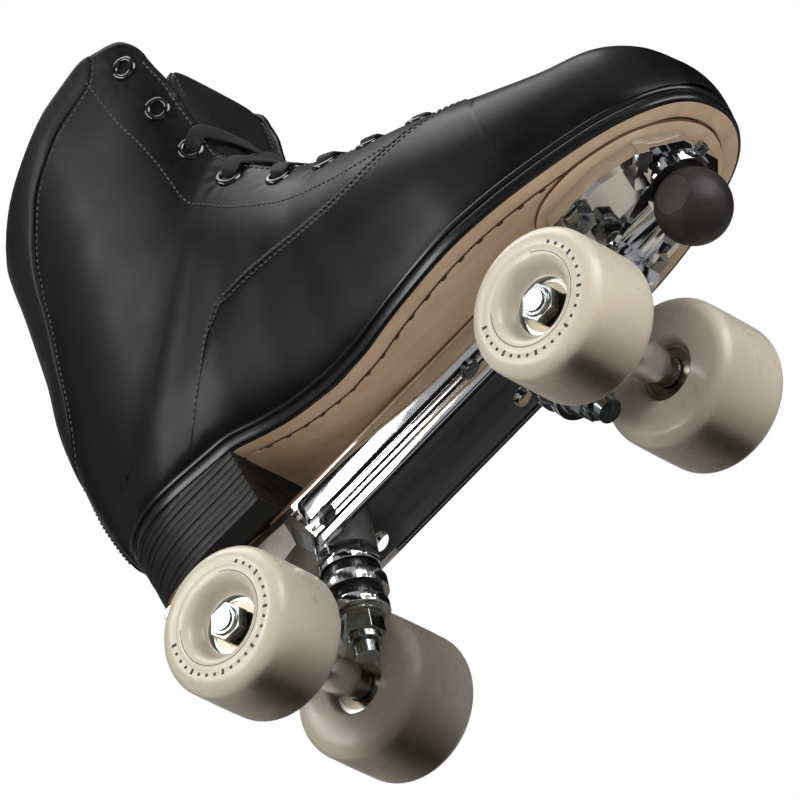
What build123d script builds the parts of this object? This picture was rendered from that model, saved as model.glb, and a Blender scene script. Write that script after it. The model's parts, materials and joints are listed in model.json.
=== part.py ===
from build123d import *
import os
from math import cos, pi, radians, sin

# Quad roller skate for the left foot: boot, chassis plate, two sprung trucks, four wheels, toe stop.
# Millimetres, +X towards the toe, +Y towards the outer side of the foot, +Z up, wheels on z = 0.
# Inside the script x is measured from the middle of the wheelbase. save() moves every sub-part by
# FRAME_SHIFT, so that the origin lies on the ground below the centre of the whole skate.
FRAME_SHIFT = -17.0

# Wheels, bearings and axles
WHEEL_R = 28.5
WHEEL_IN_Y = 19.2
WHEEL_OUT_Y = 56.5
WHEEL_LIP_R = 5.5
HALF_WHEELBASE = 82.3
BEARING_R = 11.0
BEARING_WIDTH = 7.0
BEARING_BORE_R = 4.0
OUTER_BEARING_Y = 40.6
INNER_BEARING_Y = 23.1
AXLE_R = 4.0
AXLE_END_Y = 55.2
HUB_FACE_R = 17.0

# Trucks: the kingpin leans outwards going down and the steering axis is square to it
KINGPIN_LEAN = 17.3
KINGPIN_R = 4.75
RETAINER_POINT = (52.5, 52.1)
RETAINER_R = 11.6
CUSHION_R = 10.4
RING_R = 12.5
RING_DEPTH = 4.8
CUSHION_DEPTH = 7.0

# Chassis plate
PLATE_TOP = 77.6
WEB_BOTTOM = 71.5
FLANGE_BOTTOM = 54.6
FLANGE_OUT_Y = 16.5
FLANGE_THICK = 3.0
CHANNEL_X = (-50.0, 46.0)
CROSS_HOLE_R = 4.0
CROSS_HOLES = ((-43.0, 62.0), (33.5, 62.0))
WING_HALF_Y = 28.0
PLATE_BOLTS = ((101.0, 21.3), (-101.0, 16.0))
PLATE_BOLT_R = 2.9

# Boot
SOLE_BOTTOM = 79.0
SOLE_THICK = 8.0
HEEL_BREAST_X = -57.0
HEEL_SEAT = 106.0
HEEL_LIFTS = 9
LEATHER = 3.2
TOE_STOP_X = 132.2
TOE_STOP_Z = 55.1
TOE_STOP_R = 14.3
TOE_STEM_R = 7.9

# Cross-sections of the boot from the toe to the rim: each lies in the plane through its top (or
# front) point, its bottom (or back) point and the Y direction.
# (top x, top z, bottom x, bottom z, half width, centre y, widest place, top fullness, bottom fullness)
BOOT_SECTIONS = (
    (158.5, 104, 158.5, 82, 13.0, -1.0, 0.55, 0.90, 0.60),
    (152.0, 116, 152.0, 81, 23.0, -0.5, 0.58, 0.80, 0.50),
    (140.0, 125, 140.0, 81, 32.5, -0.5, 0.62, 0.75, 0.45),
    (120.0, 131, 120.0, 81, 40.0, -1.0, 0.64, 0.75, 0.42),
    (98.0, 143, 98.0, 81, 44.5, -2.0, 0.66, 0.80, 0.42),
    (72.0, 161, 72.0, 81, 46.5, -2.5, 0.68, 0.85, 0.42),
    (50.0, 173, 52.0, 81, 45.5, -2.0, 0.68, 0.85, 0.42),
    (33.0, 185, 22.0, 80, 42.5, -1.0, 0.65, 0.85, 0.45),
    (19.0, 198, -15.0, 87, 39.0, 0.0, 0.60, 0.85, 0.50),
    (9.0, 210, -57.0, 107, 36.0, 0.0, 0.56, 0.72, 0.52),
    (4.0, 221, -97.0, 111, 35.5, 0.0, 0.53, 0.62, 0.50),
    (2.5, 229, -120.0, 113, 35.0, 0.0, 0.50, 0.55, 0.80),
    (1.5, 241, -127.0, 145, 36.0, 0.0, 0.47, 0.46, 0.90),
    (1.5, 251, -124.5, 178, 37.2, 0.0, 0.45, 0.40, 0.95),
    (2.0, 260, -117.0, 207, 38.7, 0.0, 0.44, 0.36, 0.95),
    (2.0, 271, -112.0, 235, 40.0, 0.0, 0.43, 0.34, 0.90),
    (2.0, 300, -108.0, 278, 41.5, 0.0, 0.42, 0.33, 0.85),
)
POINTS_PER_HALF = 14

# Outline of the outsole seen from below, inner side of the foot first, as (x, y)
SOLE_OUTLINE = (
    (HEEL_BREAST_X, -30.5), (-30, -33), (5, -42.5), (30, -48), (60, -51), (84, -49.3), (110, -43.5),
    (134, -35.2), (151, -24.0), (159.6, -10.0), (160.0, 9.0), (151, 24.0), (134, 34.0), (107, 42.0),
    (75, 45.0), (40, 43.5), (5, 38.0), (-30, 33), (HEEL_BREAST_X, 31), (-95, 30), (-115, 20),
    (-121, 0), (-115, -20), (-95, -30),
)

os.makedirs("parts", exist_ok=True)


def save(node, shape):
    """Write one sub-part in the skate's own frame."""
    export_step(Pos(FRAME_SHIFT, 0, 0) * shape, f"parts/{node}.step")


def together(solids):
    """Several separate solids kept as one sub-part."""
    return Compound(children=list(solids))


def cylinder_between(start, end, radius):
    """A solid cylinder whose axis runs from start to end."""
    direction = Vector(*end) - Vector(*start)
    plane = Plane(origin=start, z_dir=direction)
    return plane * Cylinder(radius, direction.length, align=(Align.CENTER, Align.CENTER, Align.MIN))


def side_slab(outline, low_y, high_y):
    """A side-view outline in x and z, extruded across the skate from low_y to high_y."""
    face = make_face(Polyline(*[(x, 0, z) for x, z in outline], close=True))
    return extrude(Pos(0, high_y, 0) * face, amount=high_y - low_y, dir=(0, -1, 0))


def plan_slab(outline, low_z, high_z):
    """A plan-view outline in x and y, extruded upwards from low_z to high_z."""
    face = make_face(Polyline(*[(x, y, low_z) for x, y in outline], close=True))
    return extrude(face, amount=high_z - low_z, dir=(0, 0, 1))


def spun_about_y(profile, x, z):
    """A turned solid: profile points are (radius, y), turned about the line along Y at (x, z)."""
    face = make_face(Polyline(*[(x + r, y, z) for r, y in profile], close=True))
    return revolve(face, Axis((x, 0, z), (0, 1, 0)), 360)


def tube_along_y(inner_r, outer_r, low_y, high_y, x, z):
    return spun_about_y(((inner_r, low_y), (outer_r, low_y), (outer_r, high_y), (inner_r, high_y)), x, z)


def mirrored_x(shape):
    return mirror(shape, about=Plane.YZ)


def mirrored_y(shape):
    return mirror(shape, about=Plane.XZ)


# ---------------------------------------------------------------- boot


def section_points(section, shrink):
    """Points of one closed boot cross-section, drawn in from the outer surface by shrink."""
    top_x, top_z, low_x, low_z, half, centre_y, widest, top_full, low_full = section
    top = Vector(top_x, centre_y, top_z)
    low = Vector(low_x, centre_y, low_z)
    run = (low - top).normalized()
    depth = (low - top).length - 2 * shrink
    top = top + run * shrink
    half = half - shrink
    ring = []
    for step in range(POINTS_PER_HALF):
        turn = pi * step / POINTS_PER_HALF
        if turn < pi / 2:
            along = widest * (1 - cos(turn) ** top_full)
            out = sin(turn) ** top_full
        else:
            along = widest + (1 - widest) * max(-cos(turn), 0.0) ** low_full
            out = sin(turn) ** low_full
        ring.append((along * depth, out * half))
    right = [top + run * along + Vector(0, -out, 0) for along, out in ring]
    left = [top + run * along + Vector(0, out, 0) for along, out in reversed(ring[1:])]
    return [top + run * depth] + left + right


def boot_solid(shrink, first=0):
    """Closed solid through all the boot's cross-sections."""
    faces = [make_face(Polyline(*section_points(section, shrink), close=True))
             for section in BOOT_SECTIONS[first:]]
    return loft(faces, ruled=True)


def sole_line(lift):
    """Side-view points along the underside of the outsole from toe to heel, raised by lift."""
    line = ((175, 80.5), (146, SOLE_BOTTOM), (14, SOLE_BOTTOM), (-4, 82.5), (-28, 92.5),
            (HEEL_BREAST_X, HEEL_SEAT), (-90, 109.0), (-140, 111.5))
    return [(x, z + lift) for x, z in line]


def sole_layer(low_lift, high_lift):
    """A layer that follows the arch of the sole, inside the sole's plan outline."""
    band = side_slab(sole_line(low_lift) + sole_line(high_lift)[::-1], -70, 70)
    return band & SOLE_COLUMN


RIM_LINE = ((20, 272), (0, 278), (-10, 284), (-26, 288.5), (-48, 284), (-75, 271), (-100, 259), (-130, 249))
VAMP_SEAM = ((-72, 100), (-70, 118), (-62, 134), (-52, 146), (-40, 154), (-25, 158), (-6, 156), (13, 151),
             (35, 145), (57, 143), (80, 142), (97, 140), (101, 155))
COLLAR_SEAM = ((-18, 300), (-22, 279), (-45, 274), (-68, 261), (-86, 240), (-95, 215), (-103, 190),
               (-112, 172), (-135, 160))
THROAT_HALF = ((97, 0), (95, 5), (88, 8.5), (60, 12), (35, 16), (18, 20.5), (9, 25), (5.5, 29), (3, 33),
               (-2, 36.5))
TONGUE_HALF = ((93, 0), (91, 9), (60, 21), (30, 27), (12, 30), (-10, 31))
EYELETS = ((-12.8, 272), (-11, 248), (-9.5, 226), (-3.5, 205), (12, 189), (31, 176), (50, 165), (71, 156),
           (88, 148.5))
LACED_FROM = 2


def both_halves(points):
    """A plan outline from its +Y half."""
    return list(points) + [(x, -y) for x, y in reversed(points) if y > 0]


sole_face = make_face(Spline(*[(x, y, 60) for x, y in SOLE_OUTLINE], periodic=True))
SOLE_COLUMN = extrude(sole_face, amount=90, dir=(0, 0, 1))

HEEL_BOLT_SEAT = 118.0
bolt_axes = [(x, side * y) for x, y in PLATE_BOLTS for side in (-1, 1)]
bolt_seats = [SOLE_BOTTOM + SOLE_THICK if x > 0 else HEEL_BOLT_SEAT for x, y in bolt_axes]


def upright(x, y, low_z, high_z, radius):
    return Pos(x, y, (low_z + high_z) / 2) * Cylinder(radius, high_z - low_z)


outer = boot_solid(0)
shell = outer - boot_solid(LEATHER, 1)
under_boot = side_slab(sole_line(SOLE_THICK) + [(-140, 40), (175, 40)], -70, 70)
over_rim = side_slab(list(RIM_LINE) + [(-130, 330), (20, 330)], -70, 70)
throat = plan_slab(both_halves(THROAT_HALF), 125, 330)
head_rooms = [upright(x, y, seat - 4, seat + 6, 5.5) for (x, y), seat in zip(bolt_axes, bolt_seats) if x < 0]
shell = shell - under_boot - over_rim - throat - head_rooms

# Eyelets: a flanged ring through each throat edge, nine a side
EYELET_FLANGE_R = 5.0
EYELET_BARREL_R = 3.4
EYELET_HOLE_R = 2.7


def eyelet_seat(x, z, side):
    """Point and outward normal of the boot's surface at an eyelet."""
    hits = outer.find_intersection_points(Axis((x, 0, z), (0, side, 0)))
    return max(hits, key=lambda hit: hit[0].Y * side)


def along_normal(point, normal, low, high):
    return tuple(point + normal * low), tuple(point + normal * high)


seats = [eyelet_seat(x, z, side) for side in (-1, 1) for x, z in EYELETS]
eyelets = []
for point, normal in seats:
    barrel = cylinder_between(*along_normal(point, normal, -LEATHER - 1.5, 0.9), EYELET_BARREL_R)
    flange = cylinder_between(*along_normal(point, normal, -0.3, 0.9), EYELET_FLANGE_R)
    bore = cylinder_between(*along_normal(point, normal, -9, 9), EYELET_HOLE_R)
    shell = shell - barrel
    eyelets.append((barrel + flange - bore, point))
flange_rooms = [cylinder_between(*along_normal(point, normal, -1.5, 4), EYELET_FLANGE_R + 0.4)
                for point, normal in seats]
barrel_rooms = [cylinder_between(*along_normal(point, normal, -9, -LEATHER + 0.2), EYELET_BARREL_R + 0.4)
                for point, normal in seats]
eyelets = [max((ring - shell).solids(), key=lambda piece: piece.volume) for ring, point in eyelets]
save("eyelets", together(eyelets))

vamp_zone = side_slab(list(VAMP_SEAM) + [(175, 155), (175, 60), (-72, 60)], -70, 70)
collar_zone = side_slab(list(COLLAR_SEAM) + [(-135, 330), (-18, 330)], -70, 70)
vamp = shell & vamp_zone
quarters = shell - vamp_zone - collar_zone
collar = shell & collar_zone
right_side = Pos(0, -50, 200) * Box(400, 100, 400)
left_side = Pos(0, 50, 200) * Box(400, 100, 400)


def main_solid(shape):
    return max(shape.solids(), key=lambda piece: piece.volume)


save("vamp", main_solid(vamp))
save("quarter_right", main_solid(quarters & right_side))
save("quarter_left", main_solid(quarters & left_side))
save("collar", main_solid(collar))

tongue_zone = plan_slab(both_halves(TONGUE_HALF), 125, 286)
tongue_layer = boot_solid(LEATHER + 1.8, 1) - boot_solid(LEATHER + 5.8, 1) - barrel_rooms
save("tongue", main_solid(tongue_layer & tongue_zone))

insole_band = side_slab(sole_line(SOLE_THICK) + sole_line(SOLE_THICK + 4)[::-1], -70, 70)
insole = main_solid(boot_solid(LEATHER + 0.2, 1) & insole_band)

# Laces: one strap across the throat at each laced pair of eyelets
LACE_WIDTH = 7.0
lace_layer = boot_solid(-2.4) - boot_solid(-0.4)
laces = []
for index in range(LACED_FROM, len(EYELETS)):
    point = seats[index][0]
    ahead = EYELETS[min(index + 1, len(EYELETS) - 1)]
    behind = EYELETS[index - 1]
    tangent = (ahead[0] - behind[0], 0, ahead[1] - behind[1])
    across = Plane(origin=(point.X, 0, point.Z), x_dir=tangent, z_dir=(-tangent[2], 0, tangent[0]))
    half_span = abs(point.Y) - EYELET_FLANGE_R - 1.2
    strap = lace_layer & (across * Pos(0, 0, 8) * Box(LACE_WIDTH, 2 * half_span, 50)) - flange_rooms
    laces.append(max(strap.solids(), key=lambda piece: piece.center().X + piece.center().Z))
save("laces", together(laces))

# ---------------------------------------------------------------- sole and heel

def bolt_holes(radius):
    return [upright(x, y, 60, 120, radius) for x, y in bolt_axes]


outsole = sole_layer(0, SOLE_THICK - 3) - bolt_holes(PLATE_BOLT_R)
save("outsole", main_solid(outsole))
welt = sole_layer(SOLE_THICK - 3, SOLE_THICK) - bolt_holes(PLATE_BOLT_R)
save("welt", main_solid(welt))
insole = insole - [upright(x, y, seat - 3, seat + 9, 5.6) for (x, y), seat in zip(bolt_axes, bolt_seats)]
save("insole", main_solid(insole))

under_sole = side_slab(sole_line(0) + [(-140, 40), (175, 40)], -70, 70)
lift_height = (HEEL_SEAT - SOLE_BOTTOM) / HEEL_LIFTS
lifts = []
for index in range(HEEL_LIFTS + 1):
    low_z = SOLE_BOTTOM + index * lift_height
    high_z = low_z + (lift_height if index < HEEL_LIFTS else 9)
    block = Pos(HEEL_BREAST_X - 50, 0, (low_z + high_z) / 2) * Box(100, 90, high_z - low_z)
    lifts.append(main_solid((SOLE_COLUMN & block & under_sole) - bolt_holes(PLATE_BOLT_R)))
save("heel_lifts", together(lifts))

# ---------------------------------------------------------------- chassis plate

lean = radians(KINGPIN_LEAN)
kingpin_way = Vector(sin(lean), 0, -cos(lean))
steer_way = Vector(cos(lean), 0, sin(lean))
retainer_centre = Vector(RETAINER_POINT[0], 0, RETAINER_POINT[1])
ring_centre = retainer_centre + kingpin_way * (1 + CUSHION_DEPTH + RING_DEPTH / 2)


def on_kingpin(low, high, radius):
    """Cylinder on the front kingpin's axis, distances measured down from the upper retainer."""
    return cylinder_between(tuple(retainer_centre + kingpin_way * low),
                            tuple(retainer_centre + kingpin_way * high), radius)


def on_steer_axis(low, high, radius):
    """Cylinder on the front steering axis, distances measured outwards from the ring's centre."""
    return cylinder_between(tuple(ring_centre + steer_way * low), tuple(ring_centre + steer_way * high), radius)


SPINE_HALF_Y = 12.0
front_wing = ((44, 0), (44, 16.5), (84, 18), (93, WING_HALF_Y), (118, WING_HALF_Y), (136, 21.5), (146, 10), (146, 0))
rear_wing = ((44, 0), (44, 16.5), (84, 18), (93, WING_HALF_Y - 2), (114, WING_HALF_Y - 2), (119, 18), (119, 0))


def wing(outline, rib_low):
    """One end of the plate: a thin platform with an edge rib on each side."""
    platform = plan_slab(both_halves(outline), PLATE_TOP - 3, PLATE_TOP)
    inner = [(x - 2.6 if x > 90 else x, max(y - 2.6, 0)) for x, y in outline]
    rim = plan_slab(both_halves(outline), rib_low, PLATE_TOP) - plan_slab(both_halves(inner), 0, PLATE_TOP)
    return platform + (rim & (Pos(150 + 84, 0, 80) * Box(300, 100, 60)))


front_end = wing(front_wing, 71.5)
spine = side_slab(((62, PLATE_TOP), (62, 69), (86, 66), (104, 60), (112, 62), (122, 66), (140, 66),
                   (140, PLATE_TOP)), -SPINE_HALF_Y, SPINE_HALF_Y)
tunnel = cylinder_between((95, 0, 59), (126, 0, 59), SPINE_HALF_Y - 2.2)
pivot_post = on_steer_axis(33, 50, 11) + side_slab(((88, 74), (88, 56), (102, 60), (102, 74)), -7, 7)
pivot_socket = on_steer_axis(32, 45, 8)
kingpin_post = on_kingpin(-26, -4.4, 11.4)
front_brace = plan_slab(((112, -4), (134, -24), (137, -21), (126, 0), (137, 21), (134, 24), (112, 4)), 69.5,
                        PLATE_TOP)
stop_boss = upright(TOE_STOP_X, 0, 66.5, PLATE_TOP, 13.0)
front_end = front_end + (spine - tunnel) + front_brace + stop_boss
web_trim = Pos(0, 0, 30 + PLATE_TOP) * Box(400, 200, 60)
end_posts = pivot_post + kingpin_post - pivot_socket - web_trim
rear_spine = side_slab(((62, PLATE_TOP), (62, 69), (86, 66), (104, 60), (112, 66), (112, PLATE_TOP)), -10, 10)
rear_end = wing(rear_wing, 71.5) + rear_spine

rail = side_slab(((CHANNEL_X[0] - 6, PLATE_TOP), (CHANNEL_X[0], FLANGE_BOTTOM), (CHANNEL_X[1], FLANGE_BOTTOM),
                  (CHANNEL_X[1] + 8, PLATE_TOP)), -FLANGE_OUT_Y, FLANGE_OUT_Y)
channel_half = FLANGE_OUT_Y - FLANGE_THICK
rail = rail - Pos(0, 0, WEB_BOTTOM - 30) * Box(400, 2 * channel_half, 60)
for side in (-1, 1):
    hollow = side_slab(((-60, 65.5), (-60, 72.3), (60, 72.3), (60, 65.5)), side * 15.3, side * 18)
    rail = rail - hollow
    for index in range(5):
        groove_z = 56.4 + 1.8 * index
        rail = rail - side_slab(((-60, groove_z), (-60, groove_z + 0.7), (60, groove_z + 0.7), (60, groove_z)),
                                side * 16.0, side * 18)
for x, z in CROSS_HOLES:
    rail = rail - cylinder_between((x, -30, z), (x, 30, z), CROSS_HOLE_R)

plate = rail + front_end + end_posts + mirrored_x(rear_end + end_posts)
kingpin_room = on_kingpin(-60, 0, KINGPIN_R)
socket_room = pivot_socket + on_steer_axis(20, 34, 6.8)
stem_room = upright(TOE_STOP_X, 0, 50, 90, TOE_STEM_R + 0.06)
for room in (kingpin_room, socket_room):
    plate = plate - room - mirrored_x(room)
nut_rooms = [upright(x, y, 60, PLATE_TOP - 3, 6.0) for x, y in bolt_axes]
plate = plate - stem_room - bolt_holes(PLATE_BOLT_R) - nut_rooms

shim_outline = ((84, 0), (84, 24), (93, 33), (117, 33.5), (138, 26), (150, 12), (152, 0))
rear_shim_outline = ((60, 0), (60, 17), (84, 19), (93, 27.5), (112, 27.5), (117, 20), (118, 0))
shim = plan_slab(both_halves(shim_outline), PLATE_TOP, SOLE_BOTTOM)
shim = shim + plan_slab(((-62, -17), (86, -17), (86, 17), (-62, 17)), PLATE_TOP, SOLE_BOTTOM)
shim = shim + mirrored_x(plan_slab(both_halves(rear_shim_outline), PLATE_TOP, SOLE_BOTTOM))
shim = shim - bolt_holes(PLATE_BOLT_R)
save("plate_shim", main_solid(shim))


def hexagon(x, y, low_z, high_z, across_flats):
    """Upright hexagonal prism."""
    return Pos(x, y, low_z) * extrude(RegularPolygon(across_flats / 2, 6, major_radius=False),
                                      amount=high_z - low_z)


plate_bolts = []
plate_nuts = []
for (x, y), seat in zip(bolt_axes, bolt_seats):
    plate_bolts.append(upright(x, y, 65.8, seat, PLATE_BOLT_R) + upright(x, y, seat, seat + 2.4, 5.3))
    nut = hexagon(x, y, 67.6, 72.4, 9.6) + upright(x, y, 72.4, 73.2, 5.6) + upright(x, y, 73.2, 74.6, 5.2)
    plate_nuts.append(nut - upright(x, y, 60, 80, PLATE_BOLT_R))
save("plate_bolts", together(plate_bolts))
save("plate_nuts", together(plate_nuts))

# ---------------------------------------------------------------- toe stop

stop_ball = Pos(TOE_STOP_X, 0, TOE_STOP_Z) * Sphere(TOE_STOP_R)
stop_ball = stop_ball & (Pos(TOE_STOP_X, 0, TOE_STOP_Z - 3.4) * Box(60, 2 * 12.3, 25.4))
stop_neck = upright(TOE_STOP_X, 0, TOE_STOP_Z + 6, TOE_STOP_Z + 9.4, 10.5)
stop_core = upright(TOE_STOP_X, 0, TOE_STOP_Z - 4, TOE_STOP_Z + 9.4, TOE_STEM_R)
stop_flange = upright(TOE_STOP_X, 0, TOE_STOP_Z - 4, TOE_STOP_Z - 1, 9.5)
save("toe_stop_pad", stop_ball + stop_neck - stop_core - stop_flange)
save("toe_stop_stem", upright(TOE_STOP_X, 0, TOE_STOP_Z - 4, 77.2, TOE_STEM_R) + stop_flange)
PINCH_X = TOE_STOP_X + TOE_STEM_R + 0.2
pinch_screw = cylinder_between((PINCH_X, 0, 72), (PINCH_X + 8, 0, 72), 2.5)
pinch_screw = pinch_screw - cylinder_between((PINCH_X + 5, 0, 72), (PINCH_X + 9, 0, 72), 1.3)
save("toe_stop_set_screw", pinch_screw)
plate = main_solid(plate - cylinder_between((PINCH_X - 1, 0, 72), (PINCH_X + 20, 0, 72), 2.5))
save("plate", plate)

# ---------------------------------------------------------------- trucks


def retainer(seat, facing):
    """Cup washer on the kingpin, its rim turned towards the cushion."""
    cup = on_kingpin(seat - 1, seat + 1, RETAINER_R)
    rim = on_kingpin(seat, seat + 3 * facing, RETAINER_R) - on_kingpin(seat - 4, seat + 4, RETAINER_R - 0.8)
    return cup + rim - on_kingpin(-60, 60, KINGPIN_R + 0.02)


def kingpin_hex(low, high, across_flats):
    plane = Plane(origin=retainer_centre + kingpin_way * low, x_dir=(0, 1, 0), z_dir=kingpin_way)
    return plane * extrude(RegularPolygon(across_flats / 2, 6, major_radius=False), amount=high - low)


RING_LOW = 1 + CUSHION_DEPTH
RING_HIGH = RING_LOW + RING_DEPTH
LOWER_RETAINER = RING_HIGH + CUSHION_DEPTH + 1
NUT_TOP = LOWER_RETAINER + 2.4
kingpin = on_kingpin(-24, 39, KINGPIN_R)
jam_nut = kingpin_hex(-4.4, -1, 20) - on_kingpin(-60, 60, KINGPIN_R + 0.02)
upper_cushion = on_kingpin(1, RING_LOW, CUSHION_R)
lower_cushion = on_kingpin(RING_HIGH, LOWER_RETAINER - 1, CUSHION_R)
cushion_bore = on_kingpin(-60, 60, KINGPIN_R + 0.15)
kingpin_nut = kingpin_hex(NUT_TOP, NUT_TOP + 7.6, 14.3) + on_kingpin(NUT_TOP + 7.6, NUT_TOP + 10.4, 6.4)
kingpin_nut = kingpin_nut + on_kingpin(LOWER_RETAINER + 1, NUT_TOP, 9.2) - on_kingpin(-60, 60, KINGPIN_R + 0.02)
pivot_cup = on_steer_axis(33.6, 45, 8) - on_steer_axis(20, 42.1, 5.1)

AXLE_POINT = (HALF_WHEELBASE, WHEEL_R)
SHOULDER_Y = 22.1
tube_profile = ((0, -SHOULDER_Y), (5.6, -SHOULDER_Y), (6.2, -19), (7.2, -14), (7.2, 14), (6.2, 19),
                (5.6, SHOULDER_Y), (0, SHOULDER_Y))
axle_tube = spun_about_y(tube_profile, *AXLE_POINT)
yoke = side_slab(((63, 37.6), (67.5, 49.0), (90.5, 56.0), (92.4, 46.0), (88.6, 30.0), (76.2, 28.0)), -6.5, 6.5)
yoke_block = on_steer_axis(8, 30.6, 5.7)
nose = on_steer_axis(25, 40.5, 4.8)
ring = cylinder_between(tuple(ring_centre - kingpin_way * RING_DEPTH / 2),
                        tuple(ring_centre + kingpin_way * RING_DEPTH / 2), RING_R)
yoke_limit = on_kingpin(-4.8, LOWER_RETAINER + 4, 13.6)
hanger = axle_tube + (yoke + yoke_block - yoke_limit - on_steer_axis(31, 60, 30)) + nose
neck_plate = Plane(origin=ring_centre + steer_way * 14, x_dir=(0, 1, 0), z_dir=steer_way) * Box(11.6, 4.2, 14)
hanger = hanger + (neck_plate - on_kingpin(-60, 60, RING_R - 1)) + ring
hanger = hanger - on_kingpin(-60, 60, 6.6)
hanger = hanger - cylinder_between((HALF_WHEELBASE, -60, WHEEL_R), (HALF_WHEELBASE, 60, WHEEL_R), AXLE_R)
axle = cylinder_between((HALF_WHEELBASE, -AXLE_END_Y, WHEEL_R), (HALF_WHEELBASE, AXLE_END_Y, WHEEL_R), AXLE_R)

# Each bearing: (low y, high y) on the +Y wheel
BEARINGS = ((INNER_BEARING_Y, INNER_BEARING_Y + BEARING_WIDTH), (OUTER_BEARING_Y, OUTER_BEARING_Y + BEARING_WIDTH))
NUT_FACE_Y = OUTER_BEARING_Y + BEARING_WIDTH + 1.0


def axle_ring(inner_r, outer_r, low_y, high_y):
    return tube_along_y(inner_r, outer_r, low_y, high_y, *AXLE_POINT)


inner_rings = [axle_ring(AXLE_R, 5.7, low, high) for low, high in BEARINGS]
spacer = axle_ring(AXLE_R, 5.4, BEARINGS[0][1], BEARINGS[1][0])
washers = [axle_ring(AXLE_R, 5.8, SHOULDER_Y, INNER_BEARING_Y), axle_ring(AXLE_R, 5.8, NUT_FACE_Y - 1, NUT_FACE_Y)]
nut_plane = Plane(origin=(HALF_WHEELBASE, NUT_FACE_Y, WHEEL_R), x_dir=(1, 0, 0), z_dir=(0, 1, 0))
axle_nut = nut_plane * extrude(RegularPolygon(6.5, 6, major_radius=False), amount=4.6)
axle_nut = axle_nut + axle_ring(0, 5.5, NUT_FACE_Y + 4.6, NUT_FACE_Y + 5.8)
axle_nut = axle_nut - axle_ring(0, AXLE_R, 0, 80)


def both_sides(solids):
    return together([piece for solid in solids for piece in (solid, mirrored_y(solid))])


truck_parts = {
    "hanger": main_solid(hanger),
    "axle": axle,
    "axle_nuts": both_sides([axle_nut]),
    "axle_washers": both_sides(washers),
    "bearing_inner_rings": both_sides(inner_rings),
    "bearing_spacers": both_sides([spacer]),
    "kingpin": kingpin,
    "kingpin_nut": kingpin_nut,
    "kingpin_jam_nut": jam_nut,
    "cushion_retainers": together([retainer(0, 1), retainer(LOWER_RETAINER, -1)]),
    "cushions": together([upper_cushion - cushion_bore, lower_cushion - cushion_bore]),
    "pivot_cup": pivot_cup,
}
for name, shape in truck_parts.items():
    save(f"front_{name}", shape)
    save(f"rear_{name}", mirrored_x(shape))

# ---------------------------------------------------------------- wheels

BEARING_OUT_Y = OUTER_BEARING_Y + BEARING_WIDTH


def lip(centre_r, centre_y, start, end):
    """Rounded wheel edge as points of a quarter turn."""
    turns = [radians(start + (end - start) * step / 6) for step in range(7)]
    return [(centre_r + WHEEL_LIP_R * cos(turn), centre_y + WHEEL_LIP_R * sin(turn)) for turn in turns]


edge_r = WHEEL_R - WHEEL_LIP_R
dish = [(HUB_FACE_R, WHEEL_OUT_Y), (15.6, WHEEL_OUT_Y - 0.5), (13.6, WHEEL_OUT_Y - 2.6),
        (11.6, BEARING_OUT_Y + 2.4), (BEARING_R, BEARING_OUT_Y + 1.6)]
back_dish = [(BEARING_R, INNER_BEARING_Y), (BEARING_R + 0.8, WHEEL_IN_Y + 1.2), (13.0, WHEEL_IN_Y)]
seat = [(BEARING_R, OUTER_BEARING_Y), (8.6, OUTER_BEARING_Y), (8.6, INNER_BEARING_Y + BEARING_WIDTH),
        (BEARING_R, INNER_BEARING_Y + BEARING_WIDTH)]
tyre_profile = (lip(edge_r, WHEEL_IN_Y + WHEEL_LIP_R, -90, 0) + lip(edge_r, WHEEL_OUT_Y - WHEEL_LIP_R, 0, 90)
                + dish + seat + back_dish)
tyre = spun_about_y(tyre_profile, *AXLE_POINT)
outer_rings = [axle_ring(9.4, BEARING_R, low, high) for low, high in BEARINGS]
shields = []
balls = []
BALLS_PER_BEARING = 7
for low, high in BEARINGS:
    shields.append(axle_ring(6.1, 9.4, low + 0.3, low + 0.7))
    shields.append(axle_ring(6.1, 9.4, high - 0.7, high - 0.3))
    for index in range(BALLS_PER_BEARING):
        turn = 2 * pi * index / BALLS_PER_BEARING
        balls.append(Pos(HALF_WHEELBASE + 7.6 * cos(turn), (low + high) / 2, WHEEL_R + 7.6 * sin(turn)) * Sphere(1.78))
wheel_parts = {"wheel": tyre, "bearing_outer_rings": together(outer_rings), "bearing_shields": together(shields),
               "bearing_balls": together(balls)}
for name, shape in wheel_parts.items():
    save(f"front_left_{name}", shape)
    save(f"front_right_{name}", mirrored_y(shape))
    save(f"rear_left_{name}", mirrored_x(shape))
    save(f"rear_right_{name}", mirrored_x(mirrored_y(shape)))
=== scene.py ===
import json
import math
import bmesh
import bpy
import numpy as np
from mathutils import Matrix, Vector


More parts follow.
